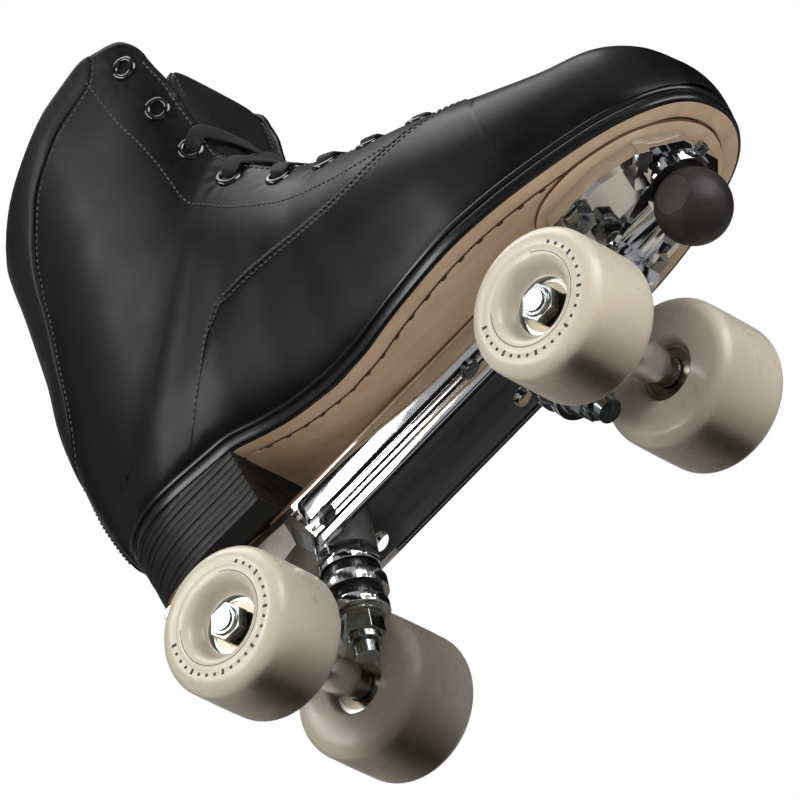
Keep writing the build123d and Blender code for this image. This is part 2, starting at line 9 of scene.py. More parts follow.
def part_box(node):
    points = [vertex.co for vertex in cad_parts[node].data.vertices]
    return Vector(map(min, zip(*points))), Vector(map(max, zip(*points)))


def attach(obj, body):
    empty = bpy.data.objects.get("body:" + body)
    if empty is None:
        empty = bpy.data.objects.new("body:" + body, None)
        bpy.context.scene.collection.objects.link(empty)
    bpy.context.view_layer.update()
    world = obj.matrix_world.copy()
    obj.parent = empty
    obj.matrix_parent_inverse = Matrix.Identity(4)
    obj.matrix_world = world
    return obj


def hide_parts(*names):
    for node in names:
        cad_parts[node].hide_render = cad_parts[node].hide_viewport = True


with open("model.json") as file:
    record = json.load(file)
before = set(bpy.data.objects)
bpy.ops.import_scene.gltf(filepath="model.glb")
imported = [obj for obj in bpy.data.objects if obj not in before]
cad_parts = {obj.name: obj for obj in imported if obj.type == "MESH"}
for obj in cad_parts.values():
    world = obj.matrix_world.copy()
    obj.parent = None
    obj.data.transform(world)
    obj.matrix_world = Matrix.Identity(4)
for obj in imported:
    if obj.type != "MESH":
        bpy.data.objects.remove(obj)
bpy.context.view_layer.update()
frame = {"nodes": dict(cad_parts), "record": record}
nodes = frame["nodes"]

# The whole script works in metres in the CAD frame. Shapes are written in millimetres with x
# measured from the middle of the wheelbase, as in the part's source, and moved by MIDDLE_X.
MM = 0.001
MIDDLE_X = -17.0


def place(points):
    """Millimetres about the middle of the wheelbase to metres in the CAD frame."""
    return (np.asarray(points, dtype=float) + (MIDDLE_X, 0.0, 0.0)) * MM


# ------------------------------------------------------------------ camera, light and stage

VIEW_AZIMUTH = 21.851
VIEW_ELEVATION = -40.371
VIEW_ROLL = -31.128
VIEW_DISTANCE = 3.2994
AIM = Vector((-0.0194, 0.0, 0.0911))
LENS = 410.22


def add_camera():
    azimuth, elevation, roll = (math.radians(a) for a in (VIEW_AZIMUTH, VIEW_ELEVATION, VIEW_ROLL))
    ahead = Vector((-math.sin(azimuth) * math.cos(elevation), math.cos(azimuth) * math.cos(elevation),
                    -math.sin(elevation)))
    level = ahead.cross(Vector((0, 0, 1))).normalized()
    upright = level.cross(ahead)
    right = level * math.cos(roll) + upright * math.sin(roll)
    above = right.cross(ahead)
    camera = bpy.data.objects.new("camera", bpy.data.cameras.new("camera"))
    camera.matrix_world = Matrix.Translation(AIM - ahead * VIEW_DISTANCE) @ Matrix(
        (right, above, -ahead)).transposed().to_4x4()
    camera.data.lens = LENS
    camera.data.sensor_width = 36.0
    camera.data.clip_end = 50.0
    bpy.context.collection.objects.link(camera)
    bpy.context.scene.camera = camera
    return ahead, right, above


ahead, right, above = add_camera()
bpy.context.scene.view_settings.view_transform = "Standard"


def add_softbox(name, direction, distance, size, power):
    """Area light placed along a direction from the skate and turned towards it."""
    light = bpy.data.lights.new(name, "AREA")
    light.shape = "RECTANGLE"
    light.size, light.size_y = size
    light.energy = power
    lamp = bpy.data.objects.new(name, light)
    way = Vector(direction).normalized()
    lamp.location = AIM + way * distance
    lamp.rotation_euler = (-way).to_track_quat("-Z", "Y").to_euler()
    bpy.context.collection.objects.link(lamp)
    lamp.visible_camera = False
    return lamp


def camera_way(across, upward, towards):
    """A direction given by the camera's right, its top and the way back to it."""
    return right * across + above * upward - ahead * towards


add_softbox("key_softbox", camera_way(0.65, 0.9, 0.45), 1.6, (1.5, 1.0), 30)
add_softbox("left_strip", camera_way(-1.0, 0.25, 0.35), 1.4, (0.25, 1.2), 9)
add_softbox("low_fill", camera_way(0.3, -0.9, 0.8), 1.6, (1.0, 0.7), 8).visible_glossy = False
add_softbox("top_light", (0.1, -0.2, 1.0), 1.6, (1.2, 1.2), 14)


def add_world():
    """White behind the skate; grey with bright and dark bands for what polished metal reflects."""
    world = bpy.data.worlds.new("studio")
    world.use_nodes = True
    tree = world.node_tree
    tree.nodes.clear()
    link = tree.links.new
    out = tree.nodes.new("ShaderNodeOutputWorld")
    seen = tree.nodes.new("ShaderNodeBackground")
    seen.inputs["Color"].default_value = (1, 1, 1, 1)
    seen.inputs["Strength"].default_value = 1.0
    around = tree.nodes.new("ShaderNodeBackground")
    around.inputs["Strength"].default_value = 0.34
    path = tree.nodes.new("ShaderNodeLightPath")
    mix = tree.nodes.new("ShaderNodeMixShader")
    coords = tree.nodes.new("ShaderNodeTexCoord")
    wave = tree.nodes.new("ShaderNodeTexWave")
    wave.wave_type = "BANDS"
    wave.bands_direction = "DIAGONAL"
    wave.inputs["Scale"].default_value = 0.45
    wave.inputs["Distortion"].default_value = 3.0
    wave.inputs["Detail"].default_value = 1.0
    wave.inputs["Detail Scale"].default_value = 0.6
    ramp = tree.nodes.new("ShaderNodeValToRGB")
    stops = ramp.color_ramp.elements
    stops[0].position = 0.28
    stops[0].color = (0.02, 0.02, 0.022, 1)
    stops[1].position = 0.62
    stops[1].color = (1.0, 1.0, 1.02, 1)
    middle = stops.new(0.45)
    middle.color = (0.42, 0.42, 0.43, 1)
    link(coords.outputs["Generated"], wave.inputs["Vector"])
    link(wave.outputs["Fac"], ramp.inputs["Fac"])
    link(ramp.outputs["Color"], around.inputs["Color"])
    link(path.outputs["Is Camera Ray"], mix.inputs["Fac"])
    link(around.outputs[0], mix.inputs[1])
    link(seen.outputs[0], mix.inputs[2])
    link(mix.outputs[0], out.inputs["Surface"])
    bpy.context.scene.world = world


add_world()


def add_floor():
    """Pale floor under the wheels, clear when it is looked at from below."""
    half = 4.0
    mesh = bpy.data.meshes.new("floor")
    mesh.from_pydata([(-half, -half, -0.0005), (half, -half, -0.0005), (half, half, -0.0005),
                      (-half, half, -0.0005)], [], [(0, 1, 2, 3)])
    floor = bpy.data.objects.new("floor", mesh)
    bpy.context.collection.objects.link(floor)
    material = bpy.data.materials.new("floor_paper")
    material.use_nodes = True
    tree = material.node_tree
    shader = tree.nodes["Principled BSDF"]
    shader.inputs["Base Color"].default_value = (0.92, 0.92, 0.91, 1)
    shader.inputs["Roughness"].default_value = 0.6
    clear = tree.nodes.new("ShaderNodeBsdfTransparent")
    side = tree.nodes.new("ShaderNodeNewGeometry")
    mix = tree.nodes.new("ShaderNodeMixShader")
    tree.links.new(side.outputs["Backfacing"], mix.inputs["Fac"])
    tree.links.new(shader.outputs[0], mix.inputs[1])
    tree.links.new(clear.outputs[0], mix.inputs[2])
    tree.links.new(mix.outputs[0], tree.nodes["Material Output"].inputs["Surface"])
    mesh.materials.append(material)
    floor.visible_glossy = False


add_floor()

# ------------------------------------------------------------------ materials


class Look:
    """A procedural material: a base shader plus chained node helpers."""

    def __init__(self, name, colour, rough, metallic=0.0, **sockets):
        self.material = bpy.data.materials.new(name)
        self.material.use_nodes = True
        self.tree = self.material.node_tree
        self.shader = self.tree.nodes["Principled BSDF"]
        self.colour = colour
        self.rough = rough
        self.put("Base Color", (*colour, 1))
        self.put("Roughness", rough)
        self.put("Metallic", metallic)
        for socket, value in sockets.items():
            self.put(socket.replace("_", " "), value)
        self.coords = self.add("ShaderNodeTexCoord").outputs["Object"]
        self.normal = None

    def put(self, socket, value):
        self.shader.inputs[socket].default_value = value

    def add(self, kind, **sockets):
        node = self.tree.nodes.new(kind)
        for socket, value in sockets.items():
            target = node.inputs[socket.replace("_", " ")]
            if isinstance(value, bpy.types.NodeSocket):
                self.tree.links.new(value, target)
            else:
                target.default_value = value
        return node

    def noise(self, scale, detail=4.0, rough=0.55, stretch=None):
        vector = self.coords
        if stretch:
            squeeze = self.add("ShaderNodeMapping", Vector=vector)
            squeeze.inputs["Scale"].default_value = stretch
            vector = squeeze.outputs["Vector"]
        node = self.add("ShaderNodeTexNoise", Vector=vector, Scale=scale, Detail=detail, Roughness=rough)
        return node.outputs["Fac"]

    def cells(self, scale):
        return self.add("ShaderNodeTexVoronoi", Vector=self.coords, Scale=scale).outputs["Distance"]

    def ramp(self, value, low, high, low_colour, high_colour):
        node = self.add("ShaderNodeValToRGB", Fac=value)
        stops = node.color_ramp.elements
        stops[0].position, stops[1].position = low, high
        stops[0].color, stops[1].color = (*low_colour, 1), (*high_colour, 1)
        return node.outputs["Color"]

    def grade(self, value, low, high, out_low, out_high):
        node = self.add("ShaderNodeMapRange", Value=value)
        limits = {"From Min": low, "From Max": high, "To Min": out_low, "To Max": out_high}
        for socket, number in limits.items():
            node.inputs[socket].default_value = number
        return node.outputs["Result"]

    def combine(self, first, second, operation):
        node = self.tree.nodes.new("ShaderNodeMath")
        node.operation = operation
        self.tree.links.new(first, node.inputs[0])
        self.tree.links.new(second, node.inputs[1])
        return node.outputs[0]

    def drive(self, socket, value):
        self.tree.links.new(value, self.shader.inputs[socket])
        return self

    def bump(self, height, strength, distance):
        node = self.add("ShaderNodeBump", Height=height, Strength=strength, Distance=distance)
        if self.normal:
            self.tree.links.new(self.normal, node.inputs["Normal"])
        self.normal = node.outputs["Normal"]
        self.tree.links.new(self.normal, self.shader.inputs["Normal"])
        return self


def leather(name, colour, rough, grain=1.0, coat=0.0):
    """Smooth dyed leather: fine pebble, pores, soft creases and uneven polish."""
    look = Look(name, colour, rough, Specular_IOR_Level=0.12, Coat_Weight=coat, Coat_Roughness=0.24)
    cloud = look.noise(14, 3)
    dark = tuple(c * 0.72 for c in colour)
    light = tuple(min(1, c * 1.35 + 0.002) for c in colour)
    look.drive("Base Color", look.ramp(cloud, 0.3, 0.7, dark, light))
    look.drive("Roughness", look.grade(look.noise(60, 3), 0.3, 0.75, rough - 0.07, rough + 0.1))
    look.bump(look.cells(900), 0.10 * grain, 0.0004)
    look.bump(look.noise(1600, 2), 0.12 * grain, 0.0002)
    look.bump(look.noise(38, 4, 0.5), 0.16 * grain, 0.0016)
    return look.material


def chrome(name, colour, rough, wave):
    """Plated or polished metal with a slow wave in its surface."""
    look = Look(name, colour, rough, metallic=1.0)
    look.drive("Roughness", look.grade(look.noise(90, 5), 0.35, 0.8, rough, rough + 0.09))
    look.bump(look.noise(55, 2), wave, 0.0012)
    look.bump(look.noise(1400, 2), 0.02, 0.0001)
    return look.material


def zinc():
    """Bright zinc plate with a faint blue to straw passivation."""
    cool = (0.34, 0.385, 0.41)
    warm = (0.42, 0.40, 0.32)
    look = Look("zinc_steel", cool, 0.22, metallic=1.0)
    look.drive("Base Color", look.ramp(look.noise(120, 3), 0.35, 0.7, cool, warm))
    look.drive("Roughness", look.grade(look.noise(420, 4), 0.3, 0.8, 0.14, 0.34))
    look.bump(look.noise(900, 3), 0.10, 0.0002)
    return look.material


def rubber(name, colour, rough, grain):
    look = Look(name, colour, rough, Specular_IOR_Level=0.4)
    lighter = tuple(c * 1.6 + 0.004 for c in colour)
    look.drive("Base Color", look.ramp(look.noise(70, 4), 0.35, 0.75, colour, lighter))
    look.drive("Roughness", look.grade(look.noise(220, 4), 0.3, 0.8, rough - 0.06, rough + 0.1))
    look.bump(look.noise(1500, 3), grain, 0.0003)
    return look.material


# ------------------------------------------------------------------ the boot's form

# Cross-sections from the toe to the rim, as in the part: each lies in the plane through its top (or
# front) point, its bottom (or back) point and the Y direction.
# (top x, top z, bottom x, bottom z, half width, centre y, widest place, top fullness, bottom fullness)
BOOT_SECTIONS = np.array((
    (158.5, 104, 158.5, 82, 13.0, -1.0, 0.55, 0.90, 0.60),
    (152.0, 116, 152.0, 81, 23.0, -0.5, 0.58, 0.80, 0.50),
    (140.0, 125, 140.0, 81, 32.5, -0.5, 0.62, 0.75, 0.45),
    (120.0, 131, 120.0, 81, 40.0, -1.0, 0.64, 0.75, 0.42),
    (98.0, 143, 98.0, 81, 44.5, -2.0, 0.66, 0.80, 0.42),
    (72.0, 161, 72.0, 81, 46.5, -2.5, 0.68, 0.85, 0.42),
    (50.0, 173, 52.0, 81, 45.5, -2.0, 0.68, 0.85, 0.42),
    (33.0, 185, 22.0, 80, 42.5, -1.0, 0.65, 0.85, 0.45),
    (19.0, 198, -15.0, 87, 39.0, 0.0, 0.60, 0.85, 0.50),
    (9.0, 210, -57.0, 107, 36.0, 0.0, 0.56, 0.72, 0.52),
    (4.0, 221, -97.0, 111, 35.5, 0.0, 0.53, 0.62, 0.50),
    (2.5, 229, -120.0, 113, 35.0, 0.0, 0.50, 0.55, 0.80),
    (1.5, 241, -127.0, 145, 36.0, 0.0, 0.47, 0.46, 0.90),
    (1.5, 251, -124.5, 178, 37.2, 0.0, 0.45, 0.40, 0.95),
    (2.0, 260, -117.0, 207, 38.7, 0.0, 0.44, 0.36, 0.95),
    (2.0, 271, -112.0, 235, 40.0, 0.0, 0.43, 0.34, 0.90),
    (2.0, 300, -108.0, 278, 41.5, 0.0, 0.42, 0.33, 0.85),
))
LAST = len(BOOT_SECTIONS) - 1
SOLE_BOTTOM = 79.0
SOLE_THICK = 8.0
SOLE_LINE = ((-140, 111.5), (-90, 109.0), (-57, 106.0), (-28, 92.5), (-4, 82.5), (14, SOLE_BOTTOM),
             (146, SOLE_BOTTOM), (175, 80.5))
RIM_LINE = ((-130, 249), (-100, 259), (-75, 271), (-48, 284), (-26, 288.5), (-10, 284), (0, 278), (20, 268))
VAMP_SEAM = ((-76, 92), (-72, 108), (-67, 122), (-60, 135), (-51, 146), (-40, 154), (-25, 158), (-6, 156),
             (13, 151), (35, 145), (57, 143), (80, 142), (97, 140), (101, 140))
COLLAR_SEAM = ((-135, 160), (-112, 172), (-103, 190), (-95, 215), (-86, 240), (-68, 261), (-45, 274),
               (-22, 279), (-18, 300))
THROAT_HALF = ((-2, 36.5), (3, 33), (5.5, 29), (9, 25), (18, 20.5), (35, 16), (60, 12), (88, 8.5), (95, 5),
               (97, 0))
EYELETS = ((-12.8, 272), (-11, 248), (-9.5, 226), (-3.5, 205), (12, 189), (31, 176), (50, 165), (71, 156),
           (88, 148.5))
LACED_FROM = 2


def line_value(line, x, reach=4):
    """Height of a line of points at x, with its corners rounded off."""
    xs, zs = np.array(line, dtype=float).T
    return sum(np.interp(x + share * reach, xs, zs) for share in (-1, -0.5, 0, 0.5, 1)) / 5


def sections_at(u):
    """Section values at any place along the boot, on a smooth curve through the table."""
    u = np.clip(np.asarray(u, dtype=float), 0, LAST)
    low = np.clip(np.floor(u).astype(int), 0, LAST - 1)
    t = (u - low)[..., None]
    before = BOOT_SECTIONS[np.clip(low - 1, 0, LAST)]
    start = BOOT_SECTIONS[low]
    end = BOOT_SECTIONS[low + 1]
    after = BOOT_SECTIONS[np.clip(low + 2, 0, LAST)]
    slope_start, slope_end = (end - before) / 2, (after - start) / 2
    return ((2 * t ** 3 - 3 * t ** 2 + 1) * start + (t ** 3 - 2 * t ** 2 + t) * slope_start
            + (3 * t ** 2 - 2 * t ** 3) * end + (t ** 3 - t ** 2) * slope_end)


def skin(u, v):
    """Point of the boot's outer surface: u runs from toe to rim, v from the top or front at 0 to
    the bottom or back at 1, negative v on the inner side of the foot."""
    u, v = np.broadcast_arrays(np.asarray(u, dtype=float), np.asarray(v, dtype=float))
    values = np.moveaxis(sections_at(u), -1, 0)
    top_x, top_z, low_x, low_z, half, centre_y, widest, top_full, low_full = values
    turn = np.pi * np.clip(np.abs(v), 0, 1)
    upper = turn < np.pi / 2
    rise = np.abs(np.cos(turn))
    spread = np.sin(turn)
    along = np.where(upper, widest * (1 - rise ** top_full), widest + (1 - widest) * rise ** low_full)
    out = np.where(upper, spread ** top_full, spread ** low_full)
    return np.stack((top_x + (low_x - top_x) * along, centre_y + np.sign(v) * out * half,
                     top_z + (low_z - top_z) * along), axis=-1)


def directions(u, v):
    """Outward normal, direction towards the rim and direction around the boot at a place."""
    step = 0.004
    u, v = np.broadcast_arrays(np.asarray(u, dtype=float), np.asarray(v, dtype=float))
    beside_front = np.where(v < 0, -2 * step, 2 * step)
    v = np.where(np.abs(v) < 2 * step, beside_front, np.clip(v, -1 + step, 1 - step))
    along = skin(np.minimum(u + step, LAST), v) - skin(np.maximum(u - step, 0), v)
    around = skin(u, v + step) - skin(u, v - step)
    normal = np.cross(around, along)
    for vector in (along, around, normal):
        vector /= np.maximum(np.linalg.norm(vector, axis=-1, keepdims=True), 1e-9)
    middle = (skin(u, 0.0) + skin(u, 1.0)) / 2
    outward = np.sum((skin(u, v) - middle) * normal, axis=-1, keepdims=True)
    return np.where(outward < 0, -normal, normal), along, around


def lifted(u, v, lift):
    """Point at a height above the boot's surface, below it when lift is negative."""
    return skin(u, v) + directions(u, v)[0] * np.asarray(lift, dtype=float)[..., None]


FINE_U = np.linspace(0, LAST, 801)
FINE_V = np.linspace(0, 1, 401)
FORM = skin(FINE_U[:, None], FINE_V[None, :])


def smooth(values, reach=7):
    padded = np.pad(values, reach, mode="edge")
    return np.convolve(padded, np.ones(2 * reach + 1) / (2 * reach + 1), mode="valid")


def crossing(inside, axis_values, axis, fallback):
    """First place along an axis of the form at which inside becomes true."""
    found = inside.any(axis=axis)
    place = axis_values[inside.argmax(axis=axis)]
    return np.where(found, place, fallback)


X, Y, Z = FORM[..., 0], FORM[..., 1], FORM[..., 2]
under_seam = (Z < line_value(VAMP_SEAM, X, 9)) & (X > -74)
in_sole = Z < line_value(SOLE_LINE, X) + SOLE_THICK
gap = np.interp(X, *np.array(THROAT_HALF, dtype=float).T, left=0)
past_throat = (Y > gap) | (X < -2)
seam_v = crossing(under_seam, FINE_V, 1, 2.0)
sole_v = crossing(in_sole & (FINE_V[None, :] > 0.5), FINE_V, 1, 1.0)
throat_v = np.where(skin(FINE_U, 0.0)[:, 0] > 97, 0.0, crossing(past_throat, FINE_V, 1, 1.0))
at_ankle = FINE_U[:, None] > 8
above_collar_seam = (Z > line_value(COLLAR_SEAM, X)) & (X < -18)
rim_u = crossing((Z > line_value(RIM_LINE, X)) & at_ankle, FINE_U, 0, float(LAST))
collar_u = crossing(above_collar_seam & at_ankle, FINE_U, 0, float(LAST))
VAMP_END_U = FINE_U[(seam_v < sole_v).nonzero()[0].max()]
THROAT_U = FINE_U[(throat_v > 0.001).argmax()]


def seam_at(u):
    return np.interp(u, FINE_U, np.minimum(smooth(np.minimum(seam_v, 1.0), 11), sole_v))


def covering(values, reach):
    """Smooth curve that never falls below the values it follows."""
    padded = np.pad(values, reach, mode="edge")
    highest = np.max([padded[shift:shift + len(values)] for shift in range(2 * reach + 1)], axis=0)
    return smooth(highest, reach)


def sole_at(u):
    return np.interp(u, FINE_U, np.minimum(covering(sole_v, 12), 1.0))


def throat_at(u):
    return np.interp(u, FINE_U, throat_v)


def rim_at(v):
    return np.interp(np.abs(v), FINE_V, smooth(rim_u, 5))


def collar_at(v):
    return np.minimum(np.interp(np.abs(v), FINE_V, smooth(collar_u, 5)), rim_at(v))


def place_on_side(x, z):
    """The (u, v) place of the surface seen from the side at x and z, clear of the sole."""
    miss = (X - x) ** 2 + (Z - z) ** 2 + 1e6 * (FINE_V[None, :] > 0.6)
    row, column = np.unravel_index(miss.argmin(), miss.shape)
    return FINE_U[row], FINE_V[column]


EYELET_PLACES = [place_on_side(x, z) for x, z in EYELETS]
EDGE_TO_EYELET = 10.0


def throat_edge():
    """Throat edge at an even distance in front of the eyelets, closing to a point at its lower end."""
    places = np.array(sorted(EYELET_PLACES))
    along = np.concatenate(([THROAT_U], places[:, 0], [LAST]))
    first_v = EDGE_TO_EYELET / 160
    around = np.concatenate(([first_v], places[:, 1], [places[-1, 1]]))
    v = smooth(np.interp(FINE_U, along, around), 9)
    per_v = np.linalg.norm(skin(FINE_U, v + 0.01) - skin(FINE_U, v - 0.01), axis=-1) / 0.02
    reach = EDGE_TO_EYELET + np.interp(FINE_U, (11, 14), (0.0, 3.0))
    edge = np.clip(v - reach / per_v, 0.0, 1.0)
    return np.where(FINE_U < THROAT_U, 0.0, edge)


throat_v = throat_edge()

# ------------------------------------------------------------------ mesh helpers


def make_object(name, vertices, faces, material, body="root", smooth_angle=40):
    mesh = bpy.data.meshes.new(name)
    corners = [tuple(map(float, vertex)) for vertex in vertices]
    mesh.from_pydata(corners, [], [tuple(map(int, face)) for face in faces])
    mesh.validate()
    mesh.update()
    piece = bpy.data.objects.new(name, mesh)
    bpy.context.collection.objects.link(piece)
    mesh.materials.append(material)
    mesh.shade_smooth()
    if smooth_angle < 180:
        mesh.set_sharp_from_angle(angle=math.radians(smooth_angle))
    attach(piece, body)
    return piece


def grid_faces(rows, columns, start=0, closed=False, flip=False):
    faces = []
    wide = columns if closed else columns - 1
    for row in range(rows - 1):
        for column in range(wide):
            a = start + row * columns + column
            b = start + row * columns + (column + 1) % columns
            quad = (a, b, b + columns, a + columns)
            faces.append(quad[::-1] if flip else quad)
    return faces


ANKLE_CENTRE = np.array((-30.0, 0.0, 120.0))


def sheets(name, grids, material, thickness=0.0, smooth_angle=50):
    """One piece from several grids of points in millimetres, given thickness inwards."""
    vertices, faces = [], []
    for points in grids:
        rows, columns = points.shape[:2]
        part = points[:max(rows // 3, 2)]
        normal = np.cross(part[1:, :-1] - part[:-1, :-1], part[:-1, 1:] - part[:-1, :-1])
        flip = np.sum(normal * (part[:-1, :-1] - ANKLE_CENTRE)) > 0
        faces += grid_faces(rows, columns, len(vertices), flip=flip)
        vertices += list(place(points.reshape(-1, 3)))
    piece = make_object(name, vertices, faces, material, smooth_angle=180)
    joined = bmesh.new()
    joined.from_mesh(piece.data)
    bmesh.ops.remove_doubles(joined, verts=joined.verts, dist=0.2 * MM)
    joined.to_mesh(piece.data)
    joined.free()
    piece.data.set_sharp_from_angle(angle=math.radians(smooth_angle))
    if thickness:
        solid = piece.modifiers.new("thickness", "SOLIDIFY")
        solid.thickness = thickness * MM
        solid.offset = -1
        solid.use_even_offset = False
    return piece


def ripple(points, height):
    """Soft hand-lasted unevenness of leather, as an offset in millimetres."""
    x, y, z = np.moveaxis(points, -1, 0)
    wave = (np.sin(x / 17 + 1.3 * np.sin(z / 23)) * np.sin(z / 19 + 0.7 * np.sin(y / 13))
            + 0.5 * np.sin(x / 8 + z / 11 + 2.1) * np.sin(y / 9 - z / 15))
    return height * wave


def crease_offset(u, v):
    """Shallow flex creases across the ankle bend."""
    middle = place_on_side(-8, 170)[0]
    reach = np.exp(-((u - middle) / 1.6) ** 2) * np.clip(np.sin(np.pi * np.abs(v)), 0, 1) ** 2
    return -0.16 * reach * np.abs(np.sin(u * 4.5 + 3.0 * np.abs(v))) ** 3


def leather_points(u, v, lift):
    base = skin(u, v)
    return base + directions(u, v)[0] * (lift + ripple(base, 0.11) + crease_offset(u, v))[..., None]


# ------------------------------------------------------------------ upper leather

VAMP_LIFT = 1.25
VAMP_THICK = 1.6
QUARTER_THICK = 1.9
LINING_DEPTH = 2.2
LINING_THICK = 0.8
upper_leather = leather("upper_leather", (0.0045, 0.0045, 0.0048), 0.38, 0.6, 0.11)
collar_leather = leather("collar_leather", (0.010, 0.010, 0.011), 0.42, 1.2, 0.1)
tongue_leather = leather("tongue_leather", (0.012, 0.012, 0.013), 0.45, 1.3, 0.08)
lining_leather = leather("lining_leather", (0.020, 0.019, 0.019), 0.6, 1.0)
thread_black = rubber("waxed_thread", (0.042, 0.042, 0.044), 0.42, 0.3)


def side_places(line):
    """(u, v) places of a side-view line of points."""
    return [place_on_side(x, z) for x, z in line]


EYELET_POINTS = np.array([skin(u, side * v) for side in (-1, 1) for u, v in EYELET_PLACES])


def eyelet_pucker(points):
    """Leather drawn in under each eyelet, with small folds around it."""
    offset = np.zeros(points.shape[:-1])
    for seat in EYELET_POINTS:
        away = points - seat
        distance = np.linalg.norm(away, axis=-1)
        turn = np.arctan2(away[..., 2], away[..., 0])
        offset -= 0.5 * np.exp(-(distance / 5.5) ** 2)
        offset += 0.07 * np.cos(9 * turn + seat[0]) * np.exp(-((distance - 8.0) / 2.6) ** 2)
    return offset


def panel(u, v, lift):
    points = leather_points(u, v, lift)
    normal = directions(u, v)[0]
    return points + normal * eyelet_pucker(points)[..., None]


def build_vamp():
    rows = np.concatenate((np.linspace(0, 2, 50), np.linspace(2, VAMP_END_U, 150)[1:]))[:, None]
    share = np.linspace(0, 1, 64)[None, :]
    start, end = seam_at(rows), sole_at(rows) + 0.02
    start = np.where(rows < THROAT_U, np.minimum(start, throat_at(rows)), start)
    grids = []
    for side in (-1, 1):
        v = start + (end - start) * share
        edge = np.clip((v - start) / 0.03, 0, 1)
        lift = VAMP_LIFT * np.sin(0.5 * np.pi * (0.35 + 0.65 * edge))
        grids.append(leather_points(rows, side * np.maximum(v, 1e-5), lift))
    cap = []
    for side in (-1, 1):
        rim_v = side * np.maximum(start[0] + (end[0] - start[0]) * share[0], 1e-5)
        rim = leather_points(0.0, rim_v, VAMP_LIFT)
        middle = skin(0.0, 0.0) * (1, 1, 0) + (0, 0, 90)
        first = math.radians(35)
        turn = np.linspace(first, np.pi / 2, 14)[:, None, None]
        forward = 7.0 * (np.sin(turn) - math.sin(first)) * np.array((1, 0, 0))
        cap.append(middle + (rim[None] - middle) * np.cos(turn) / math.cos(first) + forward)
    return sheets("vamp_leather", grids + cap, upper_leather, VAMP_THICK)


CORNER_RADIUS = 9.0


def speed(u, v):
    """Millimetres of surface along the boot for one step of u."""
    return np.linalg.norm(skin(u + 0.02, v) - skin(u - 0.02, v), axis=-1) / 0.04


def quarter_places(side):
    share_u = np.linspace(0, 1, 260)[:, None]
    share_v = np.linspace(0, 1, 130)[None, :]
    first = THROAT_U - 0.15
    top = np.full(share_v.shape, float(LAST) - 0.5)
    for _ in range(30):
        edge = throat_at(top)
        top_v = edge + (1 - edge) * share_v
        top = 0.5 * top + 0.5 * np.minimum(rim_at(top_v), collar_at(top_v) + 0.12)
    per_v = np.linalg.norm(skin(top, top_v + 0.01) - skin(top, top_v - 0.01), axis=-1) / 0.02
    corner = np.clip((top_v - throat_at(top)) * per_v / CORNER_RADIUS, 0, 1)
    top = top - CORNER_RADIUS * (1 - np.sqrt(1 - (1 - corner) ** 2)) / speed(top, top_v)
    u = first + (top - first) * share_u
    low, high = throat_at(u), np.minimum(sole_at(u) + 0.02, 1.0)
    v = low + (high - low) * share_v
    return u, side * np.maximum(v, 1e-5)


def build_quarters():
    made = []
    for side, name in ((-1, "quarter_leather_right"), (1, "quarter_leather_left")):
        u, v = quarter_places(side)
        points = panel(u, v, 0.0)
        made.append(sheets(name, [points], upper_leather, QUARTER_THICK))
    return made


def build_lining():
    """Thin lining behind the quarters and the vamp."""
    grids = []
    for side in (-1, 1):
        u, v = quarter_places(side)
        u, v = u[::4, ::3], v[::4, ::3]
        grids.append(lifted(u, v, -LINING_DEPTH))
        rows = np.linspace(0.3, THROAT_U, 40)[:, None]
        columns = side * np.linspace(1e-5, 1, 40)[None, :] * np.minimum(sole_at(rows) + 0.02, 1)
        grids.append(lifted(rows, columns, -LINING_DEPTH))
    return sheets("boot_lining", grids, lining_leather, LINING_THICK)


def backstay_half(rows, low_u):
    """Half width of the backstay as a share of v, narrower towards the collar."""
    return 0.055 - 0.03 * (rows - low_u) / (LAST - low_u)


def build_backstay():
    """Strip over the back seam, from the heel seat up to the collar."""
    share = np.linspace(-1, 1, 17)[None, :]
    low_u = FINE_U[(sole_v >= 0.999).argmax()] + 0.1
    rows = np.linspace(low_u, float(collar_at(1.0)) + 0.1, 90)[:, None]
    wide = backstay_half(rows, low_u)
    v = np.sign(share + 1e-9) * (1 - wide * np.abs(share))
    lift = 0.9 * (1 - np.abs(share) ** 6)
    return sheets("backstay_leather", [lifted(rows, v, lift + 0 * rows)], upper_leather, 0)


